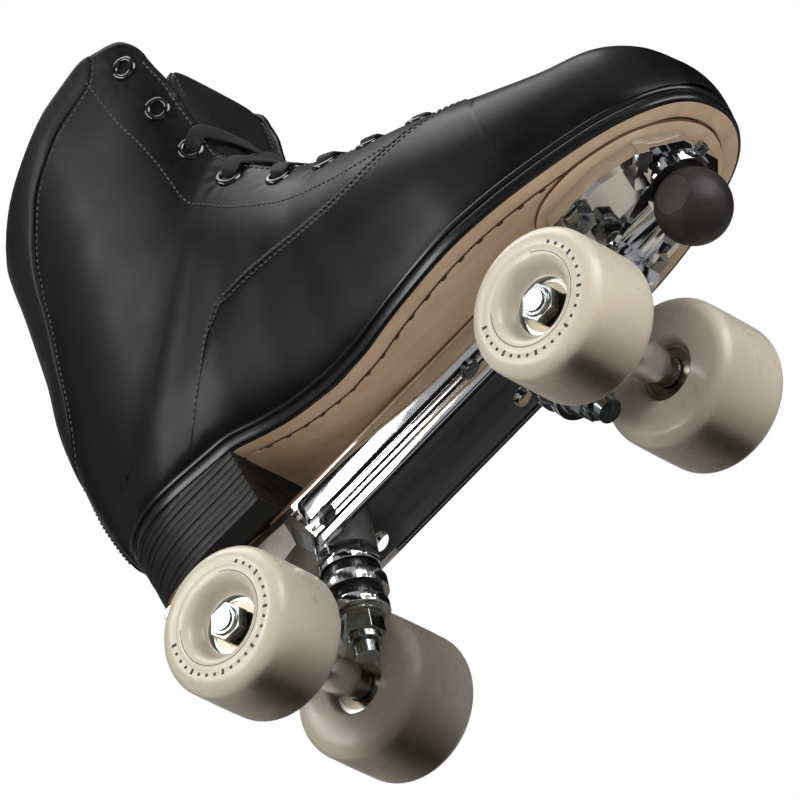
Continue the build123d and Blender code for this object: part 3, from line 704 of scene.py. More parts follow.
def build_collar():
    """Padded leather roll round the top edge, turned in over the ankle padding."""
    start = FINE_V[(smooth(rim_u, 5) - smooth(collar_u, 5) > 0.04).argmax()]
    around = np.linspace(-1, 1, 221)
    side = np.where(around < 0, -1.0, 1.0)
    v = side * (1 - (1 - start) * np.abs(around))
    v = np.where(np.abs(v) >= 1, side, v)
    low, high = collar_at(v), rim_at(v)
    span = (high - low) * speed(high, v)
    puff = np.clip(span / 26, 0, 1)
    ramp = (0.08 + 0.92 * np.sin(np.pi / 2 * np.clip(span / 24, 0, 1)))[:, None]
    rows = []
    for share in np.linspace(0, 1, 40):
        swell = 0.3 + 1.7 * puff * np.sin(np.pi * share ** 0.8) ** 0.7
        rows.append(lifted(low + (high - low) * share, v, swell))
    normal, along, _ = directions(high, v)
    rim = skin(high, v)
    for turn in np.linspace(0.12, np.pi, 14):
        rows.append(rim + normal * (-3.8 + 4.1 * math.cos(turn)) * (0.4 + 0.6 * ramp)
                    + along * (4.0 * math.sin(turn)) * ramp)
    for down in np.linspace(1.5, 34, 26):
        pad = 3.6 * math.sin(math.pi * min(down / 34, 1)) ** 0.8
        heel = 1 + 0.5 * np.abs(v) ** 3
        depth = down * (0.15 + 0.85 * ramp[:, 0])
        inset = -7.9 - pad * heel * ramp[:, 0] + 5.2 * (down / 34) ** 3
        rows.append(lifted(high - depth / speed(high, v), v, 0.4 * inset + 0.6 * inset * ramp[:, 0]))
    points = np.stack(rows)
    points = points + directions(np.clip(high, 0, LAST), v)[0] * ripple(points, 0.3)[..., None]
    piece = sheets("padded_collar", [points], collar_leather, 1.0)
    return piece


def half_width_v(u, half):
    """The v of the surface at a half width in millimetres, for each u."""
    out = []
    for value, width in zip(np.ravel(u), np.ravel(half)):
        across = skin(value, FINE_V[:200])[:, 1]
        out.append(np.interp(width, np.maximum.accumulate(across), FINE_V[:200]))
    return np.array(out)


TONGUE_HALF = ((-10, 31), (12, 30), (30, 27), (60, 21), (91, 12), (97, 9))
TONGUE_END = LAST - 1.15


def build_tongue():
    """Padded tongue: full in the middle, with a flat stitched edge, its top standing at the rim."""
    rows = np.linspace(THROAT_U - 0.5, TONGUE_END, 150)
    x = skin(rows, 0.0)[:, 0]
    half = np.interp(x, *np.array(TONGUE_HALF, dtype=float).T)
    end = np.clip((TONGUE_END - rows) / 0.9, 0, 1)
    half = half * (0.72 + 0.28 * np.sqrt(1 - (1 - end) ** 2))
    v_half = half_width_v(rows, half)[:, None]
    turn = np.linspace(0, 2 * np.pi, 72, endpoint=False)[None, :]
    across = np.sign(np.cos(turn)) * np.abs(np.cos(turn)) ** 0.85
    thick = np.where(np.sin(turn) > 0, 2.6, 2.2) * np.abs(np.sin(turn)) ** 0.55
    rounding = np.sqrt(1 - (1 - np.clip((TONGUE_END - rows) / 0.12, 0, 1)) ** 2)[:, None]
    lift = -5.6 + np.sign(np.sin(turn)) * thick * rounding
    flat = np.exp(-((np.abs(across) - 0.86) / 0.05) ** 2)
    lift = lift - 0.7 * flat * (np.sin(turn) > 0)
    v = v_half * across
    base = lifted(rows[:, None], v, lift)
    normal = directions(rows[:, None], v)[0]
    points = base + normal * ripple(base, 0.35)[..., None]
    vertices = place(points.reshape(-1, 3))
    faces = grid_faces(len(rows), turn.size, closed=True)
    faces.append(tuple(range(turn.size))[::-1])
    last = (len(rows) - 1) * turn.size
    faces.append(tuple(range(last, last + turn.size)))
    piece = make_object("padded_tongue", vertices, faces, tongue_leather, smooth_angle=60)
    return piece


# ------------------------------------------------------------------ stitches, eyelets and laces


def follow(points, spacing):
    """Points at even spacing along a polyline."""
    points = np.asarray(points, dtype=float)
    run = np.concatenate(([0], np.cumsum(np.linalg.norm(np.diff(points, axis=0), axis=1))))
    stops = np.arange(0, run[-1], spacing)
    return np.stack([np.interp(stops, run, points[:, axis]) for axis in range(3)], axis=1)


def stitches(name, lines, spacing, length, radius, material):
    """Rows of separate stitches, each a small bead of thread lying along its line."""
    sides, rings = 6, ((-1, 0.05), (-0.86, 0.72), (-0.4, 1), (0.4, 1), (0.86, 0.72), (1, 0.05))
    vertices, faces = [], []
    for line, normals in lines:
        line = np.asarray(line)
        picks = follow(line, spacing)
        for start, end in zip(picks[:-1], picks[1:]):
            nearest = np.argmin(np.sum((line - start) ** 2, axis=1))
            normal = normals[nearest]
            way = (end - start) / max(np.linalg.norm(end - start), 1e-6)
            across = np.cross(way, normal)
            middle = (start + end) / 2
            first = len(vertices)
            for shift, size in rings:
                centre = middle + way * shift * length / 2 - normal * radius * 0.6 * shift ** 4
                for side in range(sides):
                    turn = 2 * math.pi * side / sides
                    out = across * math.cos(turn) + normal * math.sin(turn)
                    vertices.append(centre + radius * size * out)
            faces += grid_faces(len(rings), sides, first, closed=True)
    return make_object(name, place(vertices), faces, material, smooth_angle=180)


def on_skin(u, v, lift):
    return lifted(u, v, lift), directions(u, v)[0]


def seam_line(side, inset):
    rows = np.linspace(THROAT_U + 0.15, VAMP_END_U - 0.1, 300)
    v = seam_at(rows)
    shift = inset / np.maximum(np.linalg.norm(skin(rows, v + 0.01) - skin(rows, v), axis=-1) / 0.01, 1)
    v = np.minimum(v + shift, sole_at(rows))
    keep = v < sole_at(rows) - 0.005
    return on_skin(rows[keep], side * v[keep], 1.3)


def throat_line(side, inset):
    rows = np.linspace(THROAT_U + 0.35, float(rim_at(0.2)) - 0.2, 300)
    v = throat_at(rows)
    shift = inset / np.maximum(np.linalg.norm(skin(rows, v + 0.01) - skin(rows, v), axis=-1) / 0.01, 1)
    keep = (v + shift) < seam_at(rows)
    return on_skin(rows[keep], side * (v + shift)[keep], 0.05)


def side_line(points, side):
    u, v = np.array(side_places(points)).T
    knots = np.arange(len(u))
    fine = np.linspace(0, len(u) - 1, 200)
    u = np.interp(fine, knots, u)
    v = np.interp(fine, knots, v)
    return on_skin(smooth(u, 6), side * smooth(v, 6), 0.05)


EYESTAY_LINE = ((-29, 286), (-28, 274), (-26, 249), (-22, 225), (-15, 199), (-7, 188), (9, 174), (29, 160),
                (49, 149), (62, 144))


def collar_line(side, inset):
    v = np.linspace(0.42, 1.0, 200)
    low = collar_at(v)
    keep = rim_at(v) - low > 0.06
    v, low = v[keep], low[keep]
    return on_skin(low - inset / speed(low, v), side * v, 0.1)


def back_line(side):
    low_u = FINE_U[(sole_v >= 0.999).argmax()] + 0.15
    rows = np.linspace(low_u, float(collar_at(1.0)) - 0.05, 120)
    return on_skin(rows, side * (1 - backstay_half(rows, low_u) * 0.72), 0.9)


def tongue_line(side):
    rows = np.linspace(THROAT_U + 0.3, TONGUE_END - 0.3, 160)
    x = skin(rows, 0.0)[:, 0]
    half = np.interp(x, *np.array(TONGUE_HALF, dtype=float).T) * 0.86
    return on_skin(rows, side * half_width_v(rows, half), -3.6)


def build_upper_stitches():
    lines = []
    for side in (-1, 1):
        lines += [seam_line(side, 2.0), seam_line(side, 4.6), throat_line(side, 2.4),
                  side_line(EYESTAY_LINE, side), collar_line(side, 2.0), back_line(side), tongue_line(side)]
    return stitches("upper_stitching", lines, 2.5, 1.9, 0.4, thread_black)


def frame_at(normal):
    """Two directions across a normal, the first of them level."""
    across = np.cross(normal, (0, 0, 1))
    across /= np.linalg.norm(across)
    return across, np.cross(normal, across)


def build_eyelets():
    """Rolled rings with a flange, one at each seat."""
    profile = [(2.7, -4.2), (2.6, -0.6), (2.75, 0.35), (3.2, 0.9), (3.9, 1.0), (4.6, 0.7), (5.0, 0.15),
               (4.9, -0.25)]
    vertices, faces = [], []
    around = 48
    for side in (-1, 1):
        for u, v in EYELET_PLACES:
            base = skin(u, side * v)
            normal, _, _ = directions(u, side * v)
            across, upward = frame_at(normal)
            first = len(vertices)
            for radius, height in profile:
                for step in range(around):
                    turn = 2 * math.pi * step / around
                    vertices.append(base + normal * (height - 0.45)
                                    + radius * (across * math.cos(turn) + upward * math.sin(turn)))
            faces += grid_faces(len(profile), around, first, closed=True)
    piece = make_object("eyelet_rings", place(vertices), faces, eyelet_enamel,
                        smooth_angle=70)
    solid = piece.modifiers.new("thickness", "SOLIDIFY")
    solid.thickness = 0.35 * MM
    solid.offset = 0
    return piece


def smooth_curve(points, count):
    """Catmull-Rom curve through points, at even steps."""
    points = np.asarray(points, dtype=float)
    padded = np.vstack((2 * points[0] - points[1], points, 2 * points[-1] - points[-2]))
    out = []
    for place_on in np.linspace(0, len(points) - 1, count):
        index = min(int(place_on), len(points) - 2)
        t = place_on - index
        a, b, c, d = padded[index:index + 4]
        out.append(0.5 * (2 * b + (c - a) * t + (2 * a - 5 * b + 4 * c - d) * t ** 2
                          + (3 * b - a - 3 * c + d) * t ** 3))
    return np.array(out)


def strap_curves(places):
    """Middle line and normals of a strap through (u, v, lift) places."""
    points = [lifted(u, v, lift) for u, v, lift in places]
    normals = [directions(u, v)[0] for u, v, lift in places]
    return smooth_curve(points, 60), smooth_curve(normals, 60)


def lace_path(index, side, over):
    """One strap from inside an eyelet, over the throat edge and across under the far edge."""
    u0, v0 = EYELET_PLACES[index]
    u1, v1 = EYELET_PLACES[index + 1]
    middle = (u0 + u1) / 2
    edge0, edge1 = throat_at(u0), throat_at(u1)
    places = ((u0, side * v0, -3.4), (u0, side * v0 * 0.985, 0.2),
              (u0 - 0.02, side * (v0 * 0.75 + edge0 * 0.25), 1.6),
              (u0 - 0.06, side * edge0, 1.3), (middle, side * edge0 * 0.05, -0.6 + over),
              (u1 + 0.06, -side * edge1 * 0.92, -2.2), (u1, -side * (v1 * 0.6 + edge1 * 0.4), -3.3),
              (u1, -side * v1, -3.6))
    return strap_curves(places)


def bar_path(index):
    """Straight strap between the two lowest eyelets."""
    u, v = EYELET_PLACES[index]
    edge = throat_at(u)
    half = ((-v, -3.4), (-v * 0.985, 0.2), (-(v * 0.7 + edge * 0.3), 1.5), (-edge, 1.2))
    across = half + ((0.001, 0.4),) + tuple((-place_v, lift) for place_v, lift in reversed(half))
    return strap_curves([(u, place_v, lift) for place_v, lift in across])


def build_laces():
    """Flat woven laces, criss-crossed through the laced eyelets."""
    paths = [bar_path(len(EYELETS) - 1)]
    for index in range(LACED_FROM, len(EYELETS) - 1):
        for side in (-1, 1):
            over = 0.9 if (side > 0) == (index % 2 == 0) else -0.1
            paths.append(lace_path(index, side, over))
    vertices, faces, weave = [], [], []
    around = 20
    for points, normals in paths:
        run = np.concatenate(([0], np.cumsum(np.linalg.norm(np.diff(points, axis=0), axis=1))))
        tangents = np.gradient(points, axis=0)
        tangents /= np.linalg.norm(tangents, axis=1, keepdims=True)
        first = len(vertices)
        for step, (point, normal, tangent) in enumerate(zip(points, normals, tangents)):
            across = np.cross(tangent, normal)
            across /= np.linalg.norm(across)
            upward = np.cross(across, tangent)
            share = step / (len(points) - 1)
            open_flat = np.clip(min(share, 1 - share) / 0.2, 0, 1)
            wide = 1.7 + 1.7 * open_flat ** 0.7
            thick = 0.95 - 0.4 * open_flat
            for side in range(around):
                turn = 2 * math.pi * side / around
                out = wide * math.copysign(abs(math.cos(turn)) ** 0.6, math.cos(turn))
                height = thick * math.copysign(abs(math.sin(turn)) ** 0.75, math.sin(turn))
                vertices.append(point + across * out + upward * height)
                weave.append((run[step] * MM, out * MM))
        faces += grid_faces(len(points), around, first, closed=True)
        faces.append(tuple(range(first, first + around))[::-1])
        faces.append(tuple(range(len(vertices) - around, len(vertices))))
    piece = make_object("laces_woven", place(vertices), faces, lace_weave, smooth_angle=60)
    layer = piece.data.uv_layers.new(name="weave")
    for loop in piece.data.loops:
        layer.data[loop.index].uv = weave[loop.vertex_index]
    return piece


def woven(name, colour):
    """Braided black lace: two families of strands crossing at a slant, with painted shade between the strands
    and painted highlights on their crowns.
    """
    look = Look(name, colour, 0.6, Specular_IOR_Level=0.2, Sheen_Weight=0.12, Sheen_Roughness=0.4)
    flat = look.tree.nodes.new("ShaderNodeTexCoord").outputs["UV"]
    heights = []
    for slant in (1.0, -1.0):
        turn = look.add("ShaderNodeMapping", Vector=flat)
        turn.inputs["Rotation"].default_value = (0, 0, slant * math.radians(32))
        wave = look.add("ShaderNodeTexWave", Vector=turn.outputs["Vector"], Scale=420)
        heights.append(wave.outputs["Fac"])
    weave = look.combine(*heights, "MAXIMUM")
    # Painted shade and highlight: the colour follows the weave's height, darker in the grooves between
    # strands and lighter on their crowns.
    dark, light = (tuple(c * share for c in colour) for share in (0.3, 1.7))
    look.drive("Base Color", look.ramp(weave, 0.2, 0.9, dark, light))
    look.bump(weave, 0.7, 0.0004)
    look.bump(look.noise(2500, 3), 0.3, 0.0002)
    return look.material


lace_weave = woven("lace_weave", (0.008, 0.008, 0.0085))
enamel = Look("eyelet_enamel", (0.006, 0.006, 0.007), 0.12, Coat_Weight=0.8, Coat_Roughness=0.05)
enamel.drive("Roughness", enamel.grade(enamel.noise(300, 4), 0.3, 0.8, 0.09, 0.24))
enamel.bump(enamel.noise(700, 2), 0.05, 0.0002)
eyelet_enamel = enamel.material

vamp = build_vamp()
quarters = build_quarters()
build_lining()
build_backstay()
collar = build_collar()
tongue = build_tongue()
build_upper_stitches()
eyelet_rings = build_eyelets()
laces = build_laces()
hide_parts("vamp")
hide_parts("quarter_right")
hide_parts("quarter_left")
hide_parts("collar")
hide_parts("tongue")
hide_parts("eyelets")
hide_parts("laces")

# ------------------------------------------------------------------ sole and heel

SOLE_OUTLINE = ((-57, -30.5), (-30, -33), (5, -42.5), (30, -48), (60, -51), (84, -49.3), (110, -43.5),
                (134, -35.2), (151, -24), (159.6, -10), (160, 9), (151, 24), (134, 34), (107, 42), (75, 45),
                (40, 43.5), (5, 38), (-30, 33), (-57, 31), (-95, 30), (-115, 20), (-121, 0), (-115, -20),
                (-95, -30))
HEEL_BREAST_X = -57.0
STITCH_INSET = 9.0


def closed_curve(points, count):
    """Smooth closed curve through points, at even spacing."""
    ring = np.array(points, dtype=float)
    extended = np.vstack((ring[-3:], ring, ring[:3]))
    fine = smooth_curve(np.column_stack((extended, np.zeros(len(extended)))), 60 * len(extended))
    scale = (60 * len(extended) - 1) / (len(extended) - 1)
    fine = fine[int(3 * scale):int((len(ring) + 3) * scale) + 1]
    run = np.concatenate(([0], np.cumsum(np.linalg.norm(np.diff(fine, axis=0), axis=1))))
    stops = np.linspace(0, run[-1], count, endpoint=False)
    return np.stack([np.interp(stops, run, fine[:, axis]) for axis in (0, 1)], axis=1)


OUTLINE = closed_curve(SOLE_OUTLINE, 900)
following = np.roll(OUTLINE, -1, axis=0) - np.roll(OUTLINE, 1, axis=0)
OUTLINE_OUT = np.column_stack((following[:, 1], -following[:, 0]))
OUTLINE_OUT /= np.linalg.norm(OUTLINE_OUT, axis=1, keepdims=True)
if np.mean(np.sum(OUTLINE_OUT * (OUTLINE - OUTLINE.mean(axis=0)), axis=1)) < 0:
    OUTLINE_OUT = -OUTLINE_OUT


def sole_ring(inset, lift):
    """Ring of points a distance inside the sole's outline and above its underside."""
    ring = OUTLINE - OUTLINE_OUT * inset
    z = line_value(SOLE_LINE, ring[:, 0]) + lift
    return np.column_stack((ring, z))


def ring_piece(name, rings, material, close=False, smooth_angle=40):
    """Surface through closed rings of points, its last ring filled to the middle when closed."""
    points = np.stack(rings)
    faces = grid_faces(len(rings), points.shape[1], closed=True)
    vertices = list(place(points.reshape(-1, 3)))
    if close:
        last = points[-1]
        start = len(vertices) - len(last)
        spine_x = np.clip(last[:, 0], -100, 118)
        middle_line = np.column_stack((spine_x, np.zeros(len(last)), line_value(SOLE_LINE, spine_x)))
        shares = np.linspace(0, 1, 24)
        for share in shares[1:]:
            ring = last + (middle_line - last) * share
            ring[:, 2] = line_value(SOLE_LINE, ring[:, 0])
            vertices += list(place(ring))
        faces += grid_faces(len(shares), len(last), start, closed=True)
    return make_object(name, vertices, faces, material, smooth_angle=smooth_angle)


def sole_rings(sections):
    return [sole_ring(inset, lift) for inset, lift in sections]


def build_sole():
    """Tan underside with its stitch channel, black edge and the welt above it."""
    half_groove = ((1.1, 0.0), (0.7, 0.1), (0.4, 0.6))
    groove = [(STITCH_INSET - reach, lift) for reach, lift in half_groove]
    groove += [(STITCH_INSET, 0.8)] + [(STITCH_INSET + reach, lift) for reach, lift in half_groove[::-1]]
    underside = [(1.6, 0.02), (2.4, 0.0), (4.5, 0.0), (6.5, 0.0)] + groove + [(11.5, 0.0), (13.5, 0.0)]
    edge = ((1.65, 0.02), (0.9, 0.12), (0.35, 0.5), (0.05, 1.2), (0.0, 2.4), (0.0, 3.8), (0.12, 4.6),
            (0.5, 4.95))
    welt = ((0.5, 5.05), (-0.1, 5.3), (-0.45, 6.1), (-0.45, 6.9), (-0.1, 7.6), (0.6, 8.0), (1.8, 8.1),
            (2.5, 7.7), (3.2, 8.1), (5.0, 8.3), (9.0, 8.0))
    bottom = ring_piece("sole_leather_bottom", sole_rings(underside), sole_leather,
                        close=True)
    ring_piece("sole_edge_black", sole_rings(edge), welt_leather, smooth_angle=60)
    return bottom, ring_piece("welt_strip", sole_rings(welt), welt_leather, smooth_angle=60)


def sole_line(inset, lift, first_x):
    """The part of a ring round the sole ahead of first_x, as one unbroken line."""
    ring = sole_ring(inset, lift)
    keep = ring[:, 0] > first_x
    start = np.argmax(~keep & np.roll(keep, -1))
    return np.roll(ring, -start - 1, axis=0)[np.roll(keep, -start - 1)]


def build_sole_thread():
    """Dark thread lying in the channel, with an awl mark at every stitch."""
    line = sole_line(STITCH_INSET, 0.35, HEEL_BREAST_X + 6)
    down = np.tile((0.0, 0.0, -1.0), (len(line), 1))
    stitches("sole_stitches", [(line, down)], 1.6, 2.0, 0.34, sole_thread)
    marks = [(line + (0, 0, -0.3), down)]
    stitches("sole_awl_marks", marks, 9.6, 3.4, 0.72, sole_thread)


def build_welt_stitches():
    line = sole_line(2.5, 7.9, -50)
    up = np.tile((0.0, 0.0, 1.0), (len(line), 1))
    stitches("welt_stitches", [(line, up)], 4.2, 3.3, 0.5, thread_black)


HEEL_LIFT = 3.0
HEEL_LAYERS = 11
HEEL_CENTRE = np.array((-88.0, 0.0))


def heel_outline(count):
    ring = [tuple(point) for point in OUTLINE if point[0] < HEEL_BREAST_X]
    ring.sort(key=lambda point: math.atan2(point[1], point[0] - HEEL_BREAST_X - 6) % (2 * math.pi))
    ring = np.array(ring)
    breast = np.column_stack((np.full(40, HEEL_BREAST_X), np.linspace(ring[-1, 1], ring[0, 1], 42)[1:-1]))
    loop = np.vstack((ring, breast, ring[:1]))
    run = np.concatenate(([0], np.cumsum(np.linalg.norm(np.diff(loop, axis=0), axis=1))))
    stops = np.linspace(0, run[-1], count, endpoint=False)
    return np.stack([np.interp(stops, run, loop[:, axis]) for axis in (0, 1)], axis=1)


def build_heel():
    """Stacked leather lifts, each rounded a little at its edges, closed by a flat face at the bottom."""
    loop = heel_outline(420)
    away = loop - HEEL_CENTRE
    away /= np.linalg.norm(away, axis=1, keepdims=True)
    top = line_value(SOLE_LINE, loop[:, 0]) + 0.2
    lift_section = ((0.01, 0.45), (0.06, 0.08), (0.15, 0.0), (0.85, 0.0), (0.94, 0.08), (0.99, 0.45))
    rings = []
    for layer in range(HEEL_LAYERS):
        low = SOLE_BOTTOM + layer * HEEL_LIFT
        for share, inset in lift_section:
            z = low + share * HEEL_LIFT
            flare = 0.5 * np.sin(np.pi * (z - SOLE_BOTTOM) / (HEEL_LIFT * HEEL_LAYERS))
            wobble = 0.12 * np.sin(loop[:, 1] / 5 + layer * 2.1)
            ring = loop - away * (inset + flare + wobble + 0.2)[:, None]
            rings.append(np.column_stack((ring, np.minimum(z, top))))
    floor_z = np.full(len(loop), SOLE_BOTTOM + 0.02)
    floor_ring = [np.column_stack((HEEL_CENTRE + (loop - HEEL_CENTRE) * share, floor_z))
                  for share in (0.02, 0.4, 0.8, 0.97, 0.99)]
    points = np.stack(floor_ring + rings)
    faces = grid_faces(len(points), len(loop), closed=True)
    return make_object("heel_stack", place(points.reshape(-1, 3)), faces, heel_leather,
                       smooth_angle=50)


# Natural sole leather, tan with darker fibres, and the black edges
tan = Look("sole_leather", (0.60, 0.44, 0.29), 0.5, Specular_IOR_Level=0.45, Coat_Weight=0.15,
           Coat_Roughness=0.3)
fibres = tan.combine(tan.noise(9, 5), tan.noise(160, 4, 0.6, (0.25, 1, 1)), "MULTIPLY")
tan.drive("Base Color", tan.ramp(fibres, 0.1, 0.42, (0.48, 0.325, 0.20), (0.70, 0.54, 0.38)))
tan.drive("Roughness", tan.grade(tan.noise(40, 4), 0.3, 0.7, 0.4, 0.6))
tan.bump(tan.noise(700, 4), 0.12, 0.0003)
tan.bump(tan.noise(30, 3), 0.15, 0.0012)
sole_leather = tan.material
welt_leather = leather("welt_leather", (0.006, 0.006, 0.0065), 0.2, 0.5, 0.5)
sole_thread = rubber("sole_thread", (0.045, 0.022, 0.012), 0.6, 0.5)

stack = Look("heel_leather", (0.008, 0.008, 0.008), 0.44, Specular_IOR_Level=0.25, Coat_Weight=0.08,
             Coat_Roughness=0.3)
stack.drive("Base Color", stack.ramp(stack.noise(90, 5, 0.6, (1, 1, 6)), 0.3, 0.8, (0.006, 0.006, 0.006),
                                     (0.016, 0.015, 0.014)))
stack.drive("Roughness", stack.grade(stack.noise(200, 4), 0.3, 0.8, 0.36, 0.56))
stack.bump(stack.noise(420, 4, 0.6, (1, 1, 5)), 0.35, 0.0003)
heel_leather = stack.material

sole_bottom, welt_piece = build_sole()
build_sole_thread()
build_welt_stitches()
heel_stack = build_heel()
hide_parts("outsole")
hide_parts("welt")
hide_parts("heel_lifts")

# ------------------------------------------------------------------ wheels

AXLE_X = 82.3
WHEEL_R = 28.5
WHEEL_IN_Y = 19.2
WHEEL_OUT_Y = 56.5
WHEEL_LIP_R = 5.5
BEARING_R = 11.0
BEARING_WIDTH = 7.0
HUB_BORE_R = 8.6


def urethane():
    look = Look("wheel_urethane", (0.60, 0.53, 0.43), 0.3, Specular_IOR_Level=0.5, Subsurface_Weight=0.08,
                Coat_Weight=0.12, Coat_Roughness=0.2)
    look.put("Subsurface Radius", (0.004, 0.003, 0.002))
    cloud = look.noise(26, 4)
    look.drive("Base Color", look.ramp(cloud, 0.3, 0.75, (0.575, 0.505, 0.405), (0.625, 0.56, 0.46)))
    look.drive("Roughness", look.grade(look.noise(120, 5), 0.3, 0.8, 0.24, 0.42))
    look.bump(look.noise(600, 3), 0.05, 0.0003)
    look.bump(look.noise(28, 2), 0.04, 0.001)
    return look.material


wheel_urethane = urethane()
print_look = Look("wheel_print", (0.012, 0.012, 0.012), 0.45)
print_look.drive("Roughness", print_look.grade(print_look.noise(500, 3), 0.3, 0.8, 0.38, 0.6))
print_look.bump(print_look.noise(1200, 2), 0.15, 0.0001)
print_black = print_look.material


def arc_points(centre, radii, first, last, steps):
    """Points along an arc of an ellipse between two angles in degrees."""
    turns = [math.radians(first + (last - first) * step / steps) for step in range(steps + 1)]
    return [(centre[0] + radii[0] * math.cos(turn), centre[1] + radii[1] * math.sin(turn)) for turn in turns]


def wheel_outline():
    """Outer half section of the wheel, radius and distance from the middle of the skate."""
    lip = (WHEEL_LIP_R, WHEEL_LIP_R)
    lip_centre_r = WHEEL_R - WHEEL_LIP_R
    low, high = WHEEL_IN_Y + WHEEL_LIP_R, WHEEL_OUT_Y - WHEEL_LIP_R
    crown = [(WHEEL_R + 0.12 * math.sin(math.pi * step / 12), low + (high - low) * step / 12)
             for step in range(1, 12)]
    return (arc_points((lip_centre_r, low), lip, -90, 0, 14) + crown
            + arc_points((lip_centre_r, high), lip, 0, 90, 14))


def lathe(name, profile, centre, side, around, material, body):
    """Solid of revolution about a line along Y, profile as (radius, distance out) points."""
    vertices, faces = [], []
    for radius, out in profile:
        for step in range(around):
            turn = 2 * math.pi * step / around
            vertices.append((centre[0] + radius * math.cos(turn), side * out,
                             centre[2] + radius * math.sin(turn)))
    count = len(profile)
    for row in range(count):
        low = ((row + 1) % count) * around
        for step in range(around):
            beside = (step + 1) % around
            quad = (row * around + step, row * around + beside, low + beside, low + step)
            faces.append(quad if side < 0 else quad[::-1])
    return make_object(name, place(vertices), faces, material, body, 35)


def wheel_place(end, hand):
    """Axle's x and the side of the skate for one wheel."""
    return (AXLE_X if end == "front" else -AXLE_X), (1 if hand == "left" else -1)


def build_wheel(end, hand):
    """Cast tyre and hub with dished faces and a seat for each bearing."""
    axle_x, side = wheel_place(end, hand)
    ring_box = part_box(f"{end}_{hand}_bearing_outer_rings")
    inner_face, outer_face = sorted(abs(corner[1]) / MM for corner in ring_box)
    dish = [(20.6, 56.5), (20.3, 56.42), (20.0, 56.5), (17.6, 56.5), (16.4, 56.25), (15.4, 55.6),
            (14.6, 54.4), (13.9, 52.6), (13.1, 50.8), (12.2, 49.6), (11.4, 49.1), (BEARING_R, 48.9)]
    dish = [(radius, max(y, outer_face + 1.6)) for radius, y in dish]
    outer_seat, inner_seat = outer_face - BEARING_WIDTH, inner_face + BEARING_WIDTH
    seat = [(BEARING_R, outer_seat), (HUB_BORE_R, outer_seat), (HUB_BORE_R, inner_seat),
            (BEARING_R, inner_seat)]
    back = [(BEARING_R, inner_face), (11.8, min(20.4, inner_face)), (12.4, 19.6), (13.2, 19.2)]
    wheel = lathe(f"{end}_{hand}_tyre", wheel_outline() + dish + seat + back, (axle_x, 0, WHEEL_R), side, 144,
                  wheel_urethane, f"{end}_{hand}_wheel_set")
    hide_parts(f"{end}_{hand}_wheel")


def build_marks(end, hand):
    """Plain printed ring and ticks on a wheel's outer face."""
    axle_x, side = wheel_place(end, hand)
    out = WHEEL_OUT_Y + 0.03
    vertices, faces = [], []

    def arc(radius, width, start, end_turn, steps):
        first = len(vertices)
        for step in range(steps + 1):
            turn = math.radians(start + (end_turn - start) * step / steps)
            for r in (radius - width / 2, radius + width / 2):
                vertices.append((axle_x + r * math.cos(turn), side * out, WHEEL_R + r * math.sin(turn)))
        for step in range(steps):
            a = first + 2 * step
            quad = (a, a + 1, a + 3, a + 2)
            faces.append(quad if side < 0 else quad[::-1])

    arc(17.9, 0.28, 150, 420, 90)
    for index in range(24):
        start = 162 + 10.2 * index
        arc(21.4, 1.3 if index % 4 else 2.2, start, start + 3.2, 4)
    make_object(f"{end}_{hand}_wheel_print", place(vertices), faces, print_black,
                f"{end}_{hand}_wheel_set", 180)


for end in ("front", "rear"):
    for hand in ("left", "right"):
        build_wheel(end, hand)
        build_marks(end, hand)

# ------------------------------------------------------------------ metal and rubber of the chassis

CROSS_HOLE_X = (-43.0, 33.5)
RAIL_FACE_Y = 15.0


def drill(piece, x, z, radius):
    """Cuts a round hole along Y through a piece."""
    bpy.ops.mesh.primitive_cylinder_add(vertices=64, radius=radius * MM, depth=0.08,
                                        location=tuple(place((x, 0, z))), rotation=(math.pi / 2, 0, 0))
    cutter = bpy.context.active_object
    cut = piece.modifiers.new("hole", "BOOLEAN")
    cut.operation = "DIFFERENCE"
    cut.solver = "EXACT"
    cut.object = cutter
    bpy.context.view_layer.update()
    solid = piece.evaluated_get(bpy.context.evaluated_depsgraph_get())
    mesh = bpy.data.meshes.new_from_object(solid)
    piece.modifiers.clear()
    piece.data = mesh
    bpy.data.objects.remove(cutter)


SHIM_PADS = {
    "shim_front": ((84, 0), (85, 22), (93, 31.5), (106, 34.5), (120, 32.8), (136, 26), (148, 14), (152, 0)),
    "shim_rear": ((-118, 0), (-116.5, 18), (-110, 26.5), (-100, 28.5), (-90, 26), (-80, 18.5), (-70, 16.5),
                  (-60, 12), (-58, 0)),
}


def flat_pad(name, ring, low, high):
    """Flat leather pad with a slightly rounded lower edge, stained dark on its edge."""
    middle = ring.mean(axis=0)
    section = ((0.0, low), (0.6, low), (0.985, low), (0.996, low + 0.12), (1.0, low + 0.4), (1.0, high))
    rings = [np.column_stack((middle + (ring - middle) * share, np.full(len(ring), z)))
             for share, z in section]
    points = np.stack(rings)
    faces = grid_faces(len(rings), len(ring), closed=True)
    pad = make_object(name, place(points.reshape(-1, 3)), faces, sole_leather,
                      smooth_angle=60)
    pad.data.materials.append(shim_leather)
    for polygon in pad.data.polygons:
        polygon.material_index = 1 if abs(polygon.normal.z) < 0.8 else 0
    return pad


def build_shim():
    """Leather shim between the chassis and the sole: a pad at each end and a strip along the rails."""
    pads = []
    for name, half in SHIM_PADS.items():
        outline = list(half) + [(x, -y) for x, y in reversed(half[1:-1])]
        pads.append(flat_pad(name, closed_curve(outline, 240), 77.58, 79.0))
    strip = []
    corners = ((-64, -17), (88, -17), (88, 17), (-64, 17))
    for start, end in zip(corners, corners[1:] + corners[:1]):
        for share in np.linspace(0, 1, 30, endpoint=False):
            strip.append((start[0] + (end[0] - start[0]) * share, start[1] + (end[1] - start[1]) * share))
    pads.append(flat_pad("shim_strip", np.array(strip, dtype=float), 77.62, 79.0))
    return pads


